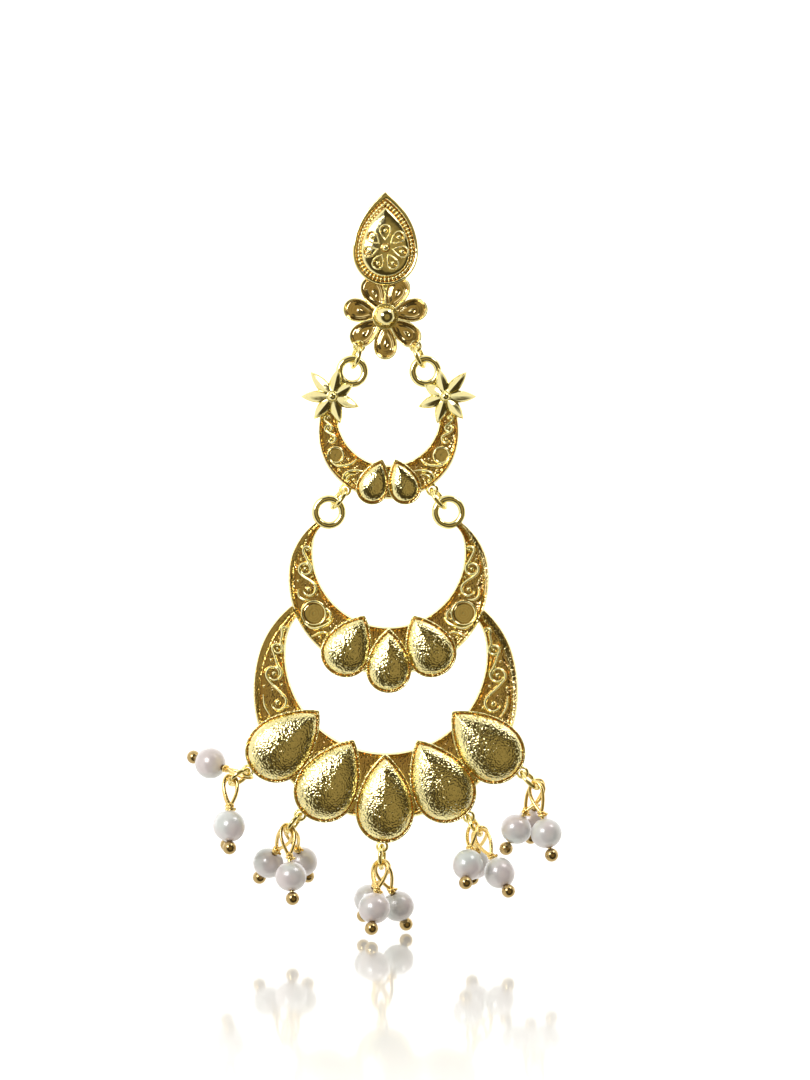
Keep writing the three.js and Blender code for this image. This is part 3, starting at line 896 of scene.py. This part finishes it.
@dataclass
class Crescent:
    """A pierced crescent: a band with raised rims, its loops, its scroll relief and its pears."""

    name: str
    node: str
    layer: Layer
    horn: Horn
    style: RimStyle
    loop: Loop
    pears: list[Pear]
    relief: Relief
    eyes: Sequence[Eye] = ()
    slope: float = 1.15
    slope_from: float = 0.5
    slope_over: float = 0.35
    narrow: float = 0.44
    hammered: float = 0.6
    tuck: float = 0.4
    tuck_until: float = 0.45
    floor_edge: float = 0.1

    def rim(self, along: float) -> tuple[Triple, ...]:
        """Gives the outer rim: how far in, how high, and how much dark waxing with painted shade
        each of its lines has.
        """
        if self.style is RimStyle.DOUBLE:
            return DOUBLE_RIM
        growth = max(0.0, min(1.0, (along - self.slope_from) / self.slope_over))
        broad = self.narrow + (self.slope - self.narrow) * growth
        start = 0.36
        return (*CHAMFER, (0.3, 0.97, 0), (start, 0.78, 0.5),
                (start + (broad - start) * 0.5, 0.7, 0.25), (broad * 0.9, 0.58, 0.4),
                (broad, 0.76, 0), (broad + 0.1, 0.76, 0), (broad + 0.18, 0.48, 1))

    def section(self, outer: Vector, inner: Vector, along: float) -> Ring:
        """Gives the section of the band between two edge points.

        Args:
            outer: The point on the outer edge.
            inner: The point on the inner edge.
            along: How far the section is from the bottom, from 0 to 1 at the horn.

        Returns:
            The ring of the section.
        """
        width = (inner - outer).length
        across = (inner - outer) / width
        rim, middle = self.rim(along), width / 2
        fit = min(1.0, width / (rim[-1][0] + INNER_LIP[0][0] + self.floor_edge))
        from_outer = [(d * fit, share, wax_and_shade) for d, share, wax_and_shade in (BAND_BACK, *rim)]
        from_inner = [(width - d * fit, share, wax_and_shade) for d, share, wax_and_shade in (*INNER_LIP, BAND_BACK)]
        # The band's floor is darkened as waxing and painted shade of its hollow.
        floor = [(middle, 0.5, 0.8)] * 2
        if fit == 1:
            floor = [(from_outer[-1][0] + self.floor_edge, 0.45, 0.6), (middle, 0.47, 0.45)]
        ring = []
        for distance, share, wax_and_shade in from_outer + floor + from_inner:
            depth = Vector((0, self.layer.at(share), 0))
            ring.append(Corner(outer + across * distance + depth, wax_and_shade))
        return ring

    def band(self) -> Form:
        """Draws the band from the left horn to the right."""
        pairs = self.horn.edges()
        half = (len(pairs) - 1) / 2
        rings = []
        for k, (outer, inner) in enumerate(pairs):
            along = abs(k - half) / half
            behind_pears = self.tuck * max(0.0, 1 - along / self.tuck_until)
            tucked = outer + (inner - outer).normalized() * behind_pears
            rings.append(self.section(tucked, inner, along))
        return hammered_all_over(drawn_through(rings), self.hammered)

    def loops(self) -> list[Form]:
        """Makes the two round loops at the horns."""
        x, z, hole, outside = self.loop
        wire, depth = (outside - hole) / 2, (self.layer.back - self.layer.rim) / 2
        places = [Vector((side * x, self.layer.at(0.5), z)) for side in (1, -1)]
        return [round_ring(hole + wire, wire, place, depth / wire, 48, 16) for place in places]

    def scrolls(self) -> list[Form]:
        """Lays the relief on both sides."""
        right = joined("scrolls", self.relief.build(self.layer.floor))
        return [right, copy_of(right, MIRROR)]

    def extras(self) -> list[Form]:
        """Gives whatever else is cast on this crescent."""
        return []

    def build(self, finish: Finish, place: Matrix) -> Form:
        """Joins the crescent and hands it over.

        Args:
            finish: The material that it wears.
            place: Where it hangs, in millimetres.

        Returns:
            The finished crescent.
        """
        lugs = [lug(eye, self.layer.at(0.5)) for eye in self.eyes]
        forms = [self.band(), *self.loops(), *self.scrolls(), *lugs, *self.extras(),
                 *pears_on_both_sides(self.pears, self.layer)]
        return hand_over(joined(self.name, forms), self.node, finish, place)


@dataclass
class StarCrescent(Crescent):
    """The upper crescent, with a seven-leaved star flower on each horn."""

    star: tuple[float, float] = (7.05, -18.6)
    star_back: float = -0.35
    star_front: float = -1.13
    star_ball: float = 0.62
    leaf_half_width: float = 0.78
    leaf_ridge: float = 0.5
    leaf_steps: int = 16
    leaves: tuple[tuple[float, float], ...] = (
        (49, 4.1), (103, 3.6), (150, 3.0), (201, 3.6), (253, 3.5), (309, 3.6), (0, 3.9))

    def leaf(self, angle: float, reach: float) -> Form:
        """Draws one creased leaf that points out from the star's middle."""
        rings = []
        for i in range(self.leaf_steps + 1):
            along = i / self.leaf_steps
            swell = max(0.02, math.sin(math.pi * min(1.0, 0.12 + 0.88 * along)) ** 0.8)
            half, rise = self.leaf_half_width * swell, self.leaf_ridge * swell ** 0.7
            x, front = reach * along, self.star_front + 0.08
            rings.append([Corner(Vector((x, y, z))) for y, z in (
                (self.star_back, -half * 0.9), (front + 0.1, -half), (front, -half * 0.94),
                (front - rise * 0.42, -half * 0.5), (front - rise, 0),
                (front - rise * 0.42, half * 0.5), (front, half * 0.94), (front + 0.1, half),
                (self.star_back, half * 0.9))])
        return shaped_by(drawn_through(rings), turned_to(-angle, *self.star))

    def extras(self) -> list[Form]:
        """Builds the two star flowers, leaves round a small ball in a ring."""
        x, z = self.star
        middle = ball(self.star_ball, Vector((x, self.star_front - 0.35, z)), 24, 14)
        collar = round_ring(0.6, 0.16, Vector((x, self.star_front - 0.25, z)), steps=28)
        leaves = [shaped_by(self.leaf(*leaf), forward(LEAF_STEP * i))
                  for i, leaf in enumerate(self.leaves)]
        right = joined("star", [*leaves, middle, collar])
        return [right, copy_of(right, MIRROR)]


@dataclass
class PeggedCrescent(Crescent):
    """The middle crescent, with two headed pegs behind it for the loops of the lower one."""

    peg: float = 0.5
    peg_head: float = 0.95
    head_back: float = 1.5

    def extras(self) -> list[Form]:
        """Turns the two pegs."""
        back, head = self.head_back, self.peg_head
        profile = [(self.peg, -0.3, 0), (self.peg, back, 0), (head - 0.06, back, 0),
                   (head, back + 0.06, 0), (head, back + 0.28, 0), (head - 0.12, back + 0.38, 0),
                   (0.0, back + 0.4, 0)]
        places = [Matrix.Translation((side * HOOK_X, 0, HOOK_Z)) for side in (1, -1)]
        return copies_of(turned_form(profile, 24), places)


# ---------------------------------------------------------------- jump rings, pins and pearls


@dataclass(frozen=True)
class RingFrame:
    """Where a jump ring hangs: its centre, the way it hangs, and the way across it."""

    centre: Vector
    hang: Vector
    across: Vector

    @classmethod
    def at_eye(cls, eye: Eye, y: float) -> "RingFrame":
        """Hangs a ring in an eye.

        Args:
            eye: The eye that the ring hangs in.
            y: Depth of the middle of the eye.

        Returns:
            The frame of the ring.
        """
        turn = math.radians(eye.lean)
        hang = Vector((math.sin(turn), 0, -math.cos(turn)))
        across = Matrix.Rotation(math.radians(eye.yaw), 3, hang) @ Vector((0, 1, 0))
        centre = Vector((eye.x, y, eye.z)) + hang * (JumpRing.radius - JumpRing.lift)
        return cls(centre, hang, across)


@dataclass
class JumpRing:
    """A round jump ring of drawn wire, closed with a fine cut."""

    radius: float = 1.4
    wire: float = 0.28
    lift: float = 0.1
    cut: float = 2.2
    cut_at: float = 118.0
    steps: int = 56
    sides: int = 14

    def build(self, at: RingFrame, name: str) -> Form:
        """Winds the ring round from one side of its cut to the other.

        Args:
            at: Where the ring hangs.
            name: The name of the piece.

        Returns:
            The ring in its place.
        """
        axis = at.hang.cross(at.across)
        rings = []
        for i in range(self.steps + 1):
            turn = math.radians(self.cut_at + self.cut / 2 + (360 - self.cut) * i / self.steps)
            out = at.hang * math.cos(turn) + at.across * math.sin(turn)
            middle = at.centre + out * self.radius
            rings.append([Corner(middle + (out * math.cos(a) + axis * math.sin(a)) * self.wire)
                          for a in round_turns(self.sides)])
        return joined(name, [drawn_through(rings)])


def hang_ring(node: str, eye: Eye, y: float, wire: Finish,
              place: Matrix | None = None) -> RingFrame:
    """Hangs a jump ring in an eye and hands it over.

    Args:
        node: The CAD node that the ring stands for.
        eye: The eye that it hangs in.
        y: Depth of the middle of the eye.
        wire: The finish of the ring.
        place: Where the casting with the eye hangs, in millimetres, or None.

    Returns:
        The frame of the ring.
    """
    ring = RingFrame.at_eye(eye, y)
    hand_over(JumpRing().build(ring, f"{node}_finished"), node, wire, place)
    return ring


@dataclass
class HeadPin:
    """A ball-headed pin: its wire goes up through the pearl, round a loop and back about itself."""

    wire: float = 0.23
    loop_above: float = 0.7
    loop_length: float = 4.0
    loop_half_width: float = 0.9
    neck: float = 0.85
    to_pearl: float = 5.9
    head: float = 0.85
    head_below: float = 2.78
    wraps: float = 1.6
    wrap_steps: int = 10
    loop_steps: int = 24
    wrap_wire: float = 0.17
    wrap_reach: float = 0.34
    wrap_wander: float = 0.05

    def loop(self, foot: float) -> list[Vector]:
        """Gives the points round the loop, up from its foot and down again."""
        points = []
        for i in range(1, self.loop_steps):
            angle = 2 * math.pi * i / self.loop_steps
            rise = self.loop_length * (1 - math.cos(angle)) / 2
            points.append(flat(self.loop_half_width * swell_at(angle, 1.0), foot + rise))
        return points

    def wrapped(self, neck_top: float) -> list[Vector]:
        """Gives the points of the wire's end, wound unevenly down the neck."""
        turns = int(self.wraps * self.wrap_steps)
        wound = []
        for i in range(turns + 1):
            angle = 2 * math.pi * i / self.wrap_steps + math.pi
            height = neck_top - 0.05 - (self.neck - 0.25) * i / turns
            reach = self.wrap_reach + self.wrap_wander * math.sin(2.3 * i)
            wound.append(Vector((reach * math.cos(angle), reach * math.sin(angle), height)))
        return wound + [wound[-1] + Vector((0.5, -0.1, 0.18))]

    def build(self) -> Form:
        """Bends the wire and sets the ball on its end, hanging down from the origin.

        Returns:
            The pin.
        """
        neck_top = self.loop_above - self.loop_length + self.wire
        head_z = -self.to_pearl - self.head_below
        stem = [flat(0, z) for z in (head_z + 0.3, -self.to_pearl, neck_top - self.neck,
                                     neck_top - 0.4)]
        bent = self.loop(neck_top - self.wire)[:-1] + [flat(-0.12, neck_top - 0.1)]
        shaft = wire_along(stem + bent, self.wire, steps=3)
        wrap = wire_along(self.wrapped(neck_top), self.wrap_wire, steps=2)
        head = wax_and_shade_by_place(ball(self.head, flat(0, head_z), 24, 16), lambda _: 0.8)
        return joined("pin_pattern", [shaft, wrap, head])


@dataclass
class Pearl:
    """A small round pearl, drilled along its own Z."""

    radius: float = 1.95
    bore: float = 0.45
    mouth: float = 0.3

    def build(self) -> Form:
        """Turns the pearl and sinks its two drill mouths.

        Returns:
            The pearl, about the origin.
        """
        pearl = ball(self.radius, Vector((0, 0, 0)), 48, 32)
        mouth_from = math.sqrt(self.radius ** 2 - self.bore ** 2)
        bpy.ops.object.mode_set(mode="EDIT")
        for side in (1, -1):
            bpy.ops.mesh.select_mode(type="FACE")
            bpy.ops.mesh.select_all(action="DESELECT")
            mesh = bmesh.from_edit_mesh(pearl.data)
            for face in mesh.faces:
                face.select_set(face.calc_center_median().z * side > mouth_from)
            bmesh.update_edit_mesh(pearl.data)
            inwards = (0, 0, -self.mouth * side)
            bpy.ops.mesh.extrude_region_move(TRANSFORM_OT_translate={"value": inwards})
        bpy.ops.object.mode_set(mode="OBJECT")
        return joined("pearl_pattern", [pearl])


@dataclass(frozen=True)
class Hang:
    """How one pearl hangs on its ring: its place along the wire, its lean and its lean back."""

    letter: str
    along: float
    lean: float
    back: float

    def place(self, ring: RingFrame) -> Matrix:
        """Gives the place of the pin: its origin on the ring's wire, its pearl down its own -Z."""
        turn, lean, back = (math.radians(a) for a in (self.along, self.lean, self.back))
        outwards = ring.hang * math.cos(turn) + ring.across * math.sin(turn)
        wire = ring.across * math.cos(turn) - ring.hang * math.sin(turn)
        origin = ring.centre + outwards * JumpRing.radius
        level = math.cos(back)
        down = Vector((math.sin(lean) * level, math.sin(back), -math.cos(lean) * level))
        facing = (wire - down * wire.dot(down)).normalized()
        side = facing.cross(-down)
        return Matrix.Translation(origin) @ Matrix((side, facing, -down)).transposed().to_4x4()


# ---------------------------------------------------------------- finishes


def set_sockets(node: bpy.types.Node, values: Sockets) -> None:
    """Sets a node's sockets by their names."""
    for name, value in values.items():
        node.inputs[name].default_value = value


def new_material(name: str, values: Sockets) -> Finish:
    """Makes a material and sets its shader's sockets."""
    material = bpy.data.materials.new(name)
    material.use_nodes = True
    set_sockets(material.node_tree.nodes["Principled BSDF"], values)
    return material


def add_noise(tree: bpy.types.NodeTree, size: float, detail: float) -> bpy.types.Node:
    """Adds noise in the piece's own coordinates.

    Args:
        tree: The node tree to add it to.
        size: The scale of the noise.
        detail: Its detail.

    Returns:
        The noise node.
    """
    place, noise = tree.nodes.new("ShaderNodeTexCoord"), tree.nodes.new("ShaderNodeTexNoise")
    set_sockets(noise, {"Scale": size, "Detail": detail})
    tree.links.new(place.outputs["Object"], noise.inputs["Vector"])
    return noise


def mix_colours(tree: bpy.types.NodeTree, first: Triple, second: Triple,
                share: bpy.types.NodeSocket) -> None:
    """Mixes two colours into the shader.

    Args:
        tree: The node tree of the material.
        first: The colour where the share is 0.
        second: The colour where the share is 1.
        share: The socket that gives the share.
    """
    mix = tree.nodes.new("ShaderNodeMix")
    mix.data_type = "RGBA"
    set_sockets(mix, {"A": (*first, 1), "B": (*second, 1)})
    tree.links.new(share, mix.inputs["Factor"])
    tree.links.new(mix.outputs["Result"], tree.nodes["Principled BSDF"].inputs["Base Color"])


@dataclass(frozen=True)
class Gold:
    """A gold finish: its colour, its roughness, and the dark colour of the waxing left in the
    recesses, which also paints in their shade.
    """

    name: str
    colour: Triple
    wax_and_shade_colour: Triple
    roughness: float = 0.13
    cast_grain: float = 0.16
    cast_size: float = 2200.0
    hammer_size: float = 4600.0
    depth: float = 0.0001

    def bump(self, tree: bpy.types.NodeTree, size: float) -> bpy.types.Node:
        """Adds one bump of plain noise.

        Args:
            tree: The node tree to add it to.
            size: The scale of the noise.

        Returns:
            The bump node.
        """
        bump = tree.nodes.new("ShaderNodeBump")
        bump.inputs["Distance"].default_value = self.depth
        tree.links.new(add_noise(tree, size, 0.0).outputs["Fac"], bump.inputs["Height"])
        return bump

    def make(self) -> Finish:
        """Mixes the finish.

        Returns:
            The material.
        """
        material = new_material(self.name, {"Metallic": 1.0, "Roughness": self.roughness})
        tree = material.node_tree
        nodes, links = tree.nodes, tree.links
        wax_and_shade, hammered = nodes.new("ShaderNodeAttribute"), nodes.new("ShaderNodeAttribute")
        wax_and_shade.attribute_name, hammered.attribute_name = WAX_AND_SHADE, HAMMERED
        # Mixes in the dark waxing colour by the marked amount: painted shade in the recesses as
        # well as the waxing.
        mix_colours(tree, self.colour, self.wax_and_shade_colour, wax_and_shade.outputs["Fac"])
        cast, hammer = self.bump(tree, self.cast_size), self.bump(tree, self.hammer_size)
        cast.inputs["Strength"].default_value = self.cast_grain
        links.new(hammered.outputs["Fac"], hammer.inputs["Strength"])
        links.new(cast.outputs["Normal"], hammer.inputs["Normal"])
        links.new(hammer.outputs["Normal"], nodes["Principled BSDF"].inputs["Normal"])
        return material


@dataclass(frozen=True)
class PearlLustre:
    """The soft, satin-white lustre of the pearls, with a faint blush here and there."""

    name: str = "pearl_lustre"
    colour: Triple = (0.55, 0.585, 0.585)
    blush: Triple = (0.61, 0.55, 0.565)
    blush_size: float = 170.0

    def make(self) -> Finish:
        """Mixes the finish.

        Returns:
            The material.
        """
        material = new_material(self.name, {"Roughness": 0.3, "Metallic": 0.15,
                                            "Coat Weight": 1.0, "Coat Roughness": 0.18})
        tree = material.node_tree
        span = tree.nodes.new("ShaderNodeMapRange")
        set_sockets(span, {"From Min": 0.4, "From Max": 0.6})
        noise = add_noise(tree, self.blush_size, 2.0)
        tree.links.new(noise.outputs["Fac"], span.inputs["Value"])
        mix_colours(tree, self.colour, self.blush, span.outputs["Result"])
        return material


# ---------------------------------------------------------------- the whole earring


@dataclass
class Bunches:
    """The five bunches of three pearls, each on a jump ring in an eye of the lower crescent."""

    hangs: tuple[tuple[Hang, Hang, Hang], ...] = (
        (Hang("a", 120, -107, 34), Hang("b", -40, 0, -19), Hang("c", 0, -4, 25)),
        (Hang("a", 0, -31, 36), Hang("b", -40, 5, -14), Hang("c", 40, 19, 42)),
        (Hang("a", 40, -20, 34), Hang("b", -40, -8, -30), Hang("c", 0, 23, 24)),
        (Hang("a", -90, -8, -41), Hang("b", 0, 27, -30), Hang("c", 40, -8, 42)),
        (Hang("a", 0, -27, 6), Hang("b", -40, 14, -9), Hang("c", 40, -5, 36)))
    girths: tuple[Triple, ...] = ((1.02, 0.97, 1.0), (0.97, 1.0, 1.02), (1.0, 0.98, 0.96))

    def build(self, wire: Finish, pin_wire: Finish,
              lustre: Finish, place: Matrix) -> None:
        """Hangs the rings, pins and pearls.

        Args:
            wire: The finish of the rings.
            pin_wire: The finish of the pins.
            lustre: The finish of the pearls.
            place: Where the lower crescent hangs, in millimetres.
        """
        pin, pearl = HeadPin().build(), Pearl().build()
        down = Matrix.Translation((0, 0, -HeadPin.to_pearl))
        for i, (eye, hangs) in enumerate(zip(BUNCH_EYES, self.hangs), start=1):
            ring = hang_ring(f"pearl_ring_{i}", eye, REAR.at(0.5), wire, place)
            girth = Matrix.Diagonal((*self.girths[i % 3], 1))
            for hang in hangs:
                at, tag = hang.place(ring), f"{i}{hang.letter}"
                for node, pattern, local, slot, finish in (
                        (f"head_pin_{tag}", pin, at, "pin_wire", pin_wire),
                        (f"pearl_{tag}", pearl, at @ down @ girth, "pearl", lustre)):
                    piece = joined(f"{node}_finished", [copy_of(pattern, local)])
                    hand_over(piece, node, finish, place)
        bpy.data.objects.remove(pin)
        bpy.data.objects.remove(pearl)



def build_crescents(gold: Finish) -> None:
    """Builds the three crescents.

    Args:
        gold: The finish of the castings.
    """
    StarCrescent(
        name="upper_crescent_finished", node="upper_crescent", layer=FRONT, style=RimStyle.DOUBLE,
        horn=Horn(outer_z=-22.95, outer_r=8.85, inner_z=-20.8, inner_r=6.3, outer_angle=40,
                  inner_angle=38, outer_tip=(5.9, -16.1), inner_tip=(4.6, -16.9)),
        loop=Loop(x=4.58, z=-15.43, hole=1.1, outside=2.05),
        pears=[Pear(x=0.8, z=-26.4, tilt=19, length=5.9, width=4.1, hammered=0.4)],
        relief=Relief(
            curls=(Curl(7.6, -21.3, 0.4), Curl(7.5, -22.55, 0.46), Curl(7.15, -23.9, 0.55)),
            discs=(Disc(6.6, -25.9, 0.98),),
            wires=(((7.35, -26.6), (6.5, -27.2), (5.4, -27.2), (4.5, -26.9), (4.0, -26.4)),
                   ((5.75, -29.0), (5.5, -28.3), (4.8, -27.85), (3.9, -27.8), (3.2, -27.9)),
                   ((5.3, -29.3), (5.2, -28.8), (4.7, -28.35), (4.1, -28.3))),
            dots=((5.0, -26.4, 0.2), (6.1, -27.8, 0.24), (5.0, -29.2, 0.26), (4.4, -28.95, 0.22),
                  (4.6, -29.6, 0.18), (7.5, -22.85, 0.2), (6.8, -24.9, 0.2))),
        eyes=CRESCENT_EYES).build(gold, DROP)
    PeggedCrescent(
        name="middle_crescent_finished", node="middle_crescent", layer=FRONT, style=RimStyle.BROAD,
        horn=Horn(outer_z=-41.1, outer_r=12.6, inner_z=-37.9, inner_r=9.38, outer_angle=5,
                  inner_angle=8, outer_tip=(8.7, -33.9), inner_tip=(8.2, -34.7)),
        loop=Loop(x=7.48, z=-33, hole=1.2, outside=2.15),
        pears=[Pear(x=3, z=-45.9, tilt=27, length=8.3, width=6.2),
               Pear(x=0, z=-47.5, tilt=0, length=8.1, width=5.7)],
        relief=Relief(
            curls=(Curl(10.15, -37.75, 0.56), Curl(10.4, -40.1, 0.86), Curl(10.0, -42.65, 0.98)),
            discs=(Disc(9.35, -45.65, 1.5),),
            wires=(((11.3, -42.6), (11.2, -43.5), (10.7, -43.9), (9.9, -43.9)),
                   ((10.5, -46.9), (9.6, -47.5), (8.3, -47.3), (7.4, -46.8), (6.9, -46.2)),
                   ((9.6, -48.6), (8.9, -48.2), (8.1, -48.0), (7.6, -48.2)),
                   ((7.8, -45.0), (7.3, -45.6), (7.3, -46.2), (7.8, -46.5))),
            dots=((9.8, -36.9, 0.2), (10.95, -38.9, 0.2), (9.65, -38.65, 0.17), (11.3, -41.6, 0.2),
                  (9.55, -41.1, 0.2), (8.85, -43.35, 0.2), (10.3, -36.5, 0.15), (8.6, -48.6, 0.25),
                  (7.75, -45.6, 0.22))),
    ).build(gold, DROP)
    Crescent(
        name="lower_crescent_finished", node="lower_crescent", layer=REAR, style=RimStyle.BROAD,
        horn=Horn(outer_z=-55.25, outer_r=16.63, inner_z=-50.6, inner_r=12.5, outer_angle=16,
                  inner_angle=6, outer_tip=(11.5, -44.4), inner_tip=(10.3, -45.4)),
        loop=Loop(x=HOOK_X, z=HOOK_Z, hole=0.85, outside=1.45),
        pears=[Pear(x=8.3, z=-57.9, tilt=46, length=11.3, width=7.9),
               Pear(x=3.95, z=-61.5, tilt=29, length=11.3, width=7.9),
               Pear(x=0, z=-63.2, tilt=0, length=11.2, width=7.4)],
        relief=Relief(
            curls=(Curl(12.65, -47.8, 0.45), Curl(13.55, -50.15, 0.7), Curl(14.0, -53.3, 1.02),
                   Curl(13.5, -56.9, 1.15)),
            wires=(((15.3, -55.9), (15.1, -57.3), (14.4, -58.6)),
                   ((12.1, -58.3), (11.6, -59.1), (11.9, -60))),
            dots=((12.4, -46.6, 0.2), (13.2, -48.8, 0.2), (14.35, -51.6, 0.22), (13.1, -51.4, 0.2),
                  (15.2, -54.9, 0.22), (13.0, -54.7, 0.22), (12.2, -57.4, 0.22),
                  (15.3, -52.2, 0.16))),
        slope=1.3, slope_from=0.45, eyes=BUNCH_EYES).build(gold, LOWER_DROP)


class SoftLight(NamedTuple):
    """A soft square light: the way to it, its distance and its side in metres, and its watts."""

    name: str
    towards: Triple
    distance: float
    size: float
    power: float


@dataclass
class Studio:
    """The camera in front, the plain pale floor and the soft lights."""

    view_centre: tuple[float, float] = (0.00244, -0.0365)
    view_height: float = 0.135
    lens: float = 150.0
    sensor: float = 36.0
    floor_z: float = -0.0859
    room: float = 3.0
    wall_y: float = 0.6
    gloss_from: float = -0.22
    gloss_to: float = -0.005
    floor_roughness: float = 0.05
    matt_glow: float = 0.1
    wall_roughness: float = 0.9
    wall_glow: float = 1.0
    aim: Triple = (0.0, 0.0, -0.045)
    lights: tuple[SoftLight, ...] = (SoftLight("key", (-0.51, -0.78, 0.36), 0.5, 0.2, 1.2),
                                     SoftLight("high", (0.57, -0.3, 0.81), 0.5, 0.16, 0.45))
    sky_axis: Triple = (-0.34, 0.93, 0.12)
    sky: tuple[tuple[float, Triple], ...] = (
        (0.0, (0.22, 0.16, 0.065)), (0.03, (0.36, 0.28, 0.12)), (0.09, (0.05, 0.038, 0.015)),
        (0.25, (0.06, 0.047, 0.02)), (0.36, (1.0, 0.96, 0.82)), (1.0, (1.1, 1.08, 1.02)))

    def camera(self) -> None:
        """Sets the camera square to the front of the earring."""
        distance = self.view_height * self.lens / self.sensor
        x, z = self.view_centre
        bpy.ops.object.camera_add(location=(x, -distance, z), rotation=(math.pi / 2, 0, 0))
        camera = bpy.context.object
        camera.data.lens = self.lens
        camera.data.sensor_width = self.sensor
        camera.data.clip_start = 0.01
        bpy.context.scene.camera = camera

    def sheet(self, name: str, turn: float, place: Vector, roughness: float, glow: float,
              seen_in_gold: bool) -> Form:
        """Hangs or lays one plain white sheet.

        Args:
            name: The name of the sheet.
            turn: Its turn about X, in radians.
            place: The place of its middle.
            roughness: How matt it is.
            glow: How brightly it is lit through from behind.
            seen_in_gold: Whether it shows as a reflection.

        Returns:
            The sheet.
        """
        clear_selection()
        bpy.ops.mesh.primitive_plane_add(size=self.room, location=place, rotation=(turn, 0, 0))
        sheet = bpy.context.object
        sheet.name = name
        material = new_material(name, {**SHEET_WHITE, "Roughness": roughness,
                                       "Emission Strength": glow})
        sheet.data.materials.append(material)
        sheet.visible_glossy = seen_in_gold
        return sheet

    def fade_gloss(self, floor: Form) -> None:
        """Lets the floor's gloss fade out to matt white in front of the earring."""
        tree = floor.data.materials[0].node_tree
        nodes, links = tree.nodes, tree.links
        glossy, matt = nodes["Principled BSDF"], nodes.new("ShaderNodeBsdfPrincipled")
        set_sockets(matt, {**SHEET_WHITE, "Roughness": 1.0, "Specular IOR Level": 0.0,
                           "Emission Strength": self.matt_glow})
        place, apart = nodes.new("ShaderNodeTexCoord"), nodes.new("ShaderNodeSeparateXYZ")
        span, mix = nodes.new("ShaderNodeMapRange"), nodes.new("ShaderNodeMixShader")
        set_sockets(span, {"From Min": self.gloss_from - floor.location.y,
                           "From Max": self.gloss_to - floor.location.y})
        links.new(place.outputs["Object"], apart.inputs["Vector"])
        links.new(apart.outputs["Y"], span.inputs["Value"])
        links.new(span.outputs["Result"], mix.inputs["Fac"])
        links.new(matt.outputs["BSDF"], mix.inputs[1])
        links.new(glossy.outputs["BSDF"], mix.inputs[2])
        links.new(mix.outputs["Shader"], nodes["Material Output"].inputs["Surface"])

    def light(self, soft: SoftLight) -> None:
        """Hangs one soft square light, aimed at the middle of the earring."""
        aim = Vector(self.aim)
        place = aim + Vector(soft.towards).normalized() * soft.distance
        bpy.ops.object.light_add(type="AREA", location=place)
        lamp = bpy.context.object
        lamp.name = soft.name
        lamp.rotation_euler = (aim - place).to_track_quat("-Z", "Y").to_euler()
        lamp.data.size = soft.size
        lamp.data.energy = soft.power

    def hang_sky(self) -> None:
        """Hangs the sky: a white tent with a warm dark patch, itself plain white to the camera."""
        world = bpy.data.worlds.new("studio")
        world.use_nodes = True
        nodes, links = world.node_tree.nodes, world.node_tree.links
        way, dot = nodes.new("ShaderNodeTexCoord"), nodes.new("ShaderNodeVectorMath")
        dot.operation = "DOT_PRODUCT"
        dot.inputs[1].default_value = self.sky_axis
        span, ramp = nodes.new("ShaderNodeMapRange"), nodes.new("ShaderNodeValToRGB")
        span.inputs["From Min"].default_value = -1.0
        links.new(way.outputs["Generated"], dot.inputs[0])
        links.new(dot.outputs["Value"], span.inputs["Value"])
        links.new(span.outputs["Result"], ramp.inputs["Fac"])
        stops = ramp.color_ramp.elements
        (_, first), *between, (_, last) = self.sky
        stops[0].color, stops[1].color = (*first, 1), (*last, 1)
        for position, colour in between:
            stops.new(position).color = (*colour, 1)
        seen, plain = nodes.new("ShaderNodeLightPath"), nodes.new("ShaderNodeMix")
        plain.data_type = "RGBA"
        plain.inputs["B"].default_value = (1, 1, 1, 1)
        links.new(seen.outputs["Is Camera Ray"], plain.inputs["Factor"])
        links.new(ramp.outputs["Color"], plain.inputs["A"])
        links.new(plain.outputs["Result"], nodes["Background"].inputs["Color"])
        bpy.context.scene.world = world

    def build(self) -> None:
        """Sets up the whole studio."""
        self.camera()
        laid = Vector((0, self.wall_y - self.room / 2, self.floor_z))
        self.fade_gloss(self.sheet("floor", 0.0, laid, self.floor_roughness, 0.0, False))
        wall = Vector((0, self.wall_y, self.floor_z + self.room / 2 - 0.001))
        self.sheet("backdrop", math.pi / 2, wall, self.wall_roughness, self.wall_glow, True)
        for soft in self.lights:
            self.light(soft)
        self.hang_sky()
        bpy.context.scene.view_settings.view_transform = "Standard"


def main() -> None:
    """Builds the earring piece by piece, and then the studio round it."""
    logging.basicConfig(level=logging.INFO, format="%(name)s: %(message)s")
    clear_selection()
    # The orange-brown of the waxing, which also paints the shade of the recesses.
    wax_and_shade = (0.88, 0.56, 0.21)
    gold = Gold("cast_gold", (0.95, 0.86, 0.46), wax_and_shade).make()
    wire = Gold("ring_gold", (0.9, 0.77, 0.34), wax_and_shade, cast_grain=0.04).make()
    pin_wire = Gold("pin_gold", (0.93, 0.7, 0.28), (0.42, 0.3, 0.15), roughness=0.22,
                    cast_grain=0.08).make()
    lustre = PearlLustre().make()
    hand_over(Stud().build(), "stud_casting", gold)
    hand_over(EarPost().build(), "ear_post", wire)
    for side, eye in zip(("left", "right"), FLOWER_EYES):
        hang_ring(f"upper_jump_ring_{side}", eye, FLOWER_EYE_Y, wire)
    for side, eye in zip(("left", "right"), CRESCENT_EYES):
        hang_ring(f"lower_jump_ring_{side}", eye, FRONT.at(0.5), wire, DROP)
    build_crescents(gold)
    Bunches().build(wire, pin_wire, lustre, LOWER_DROP)
    Studio().build()


if __name__ == "__main__":
    main()
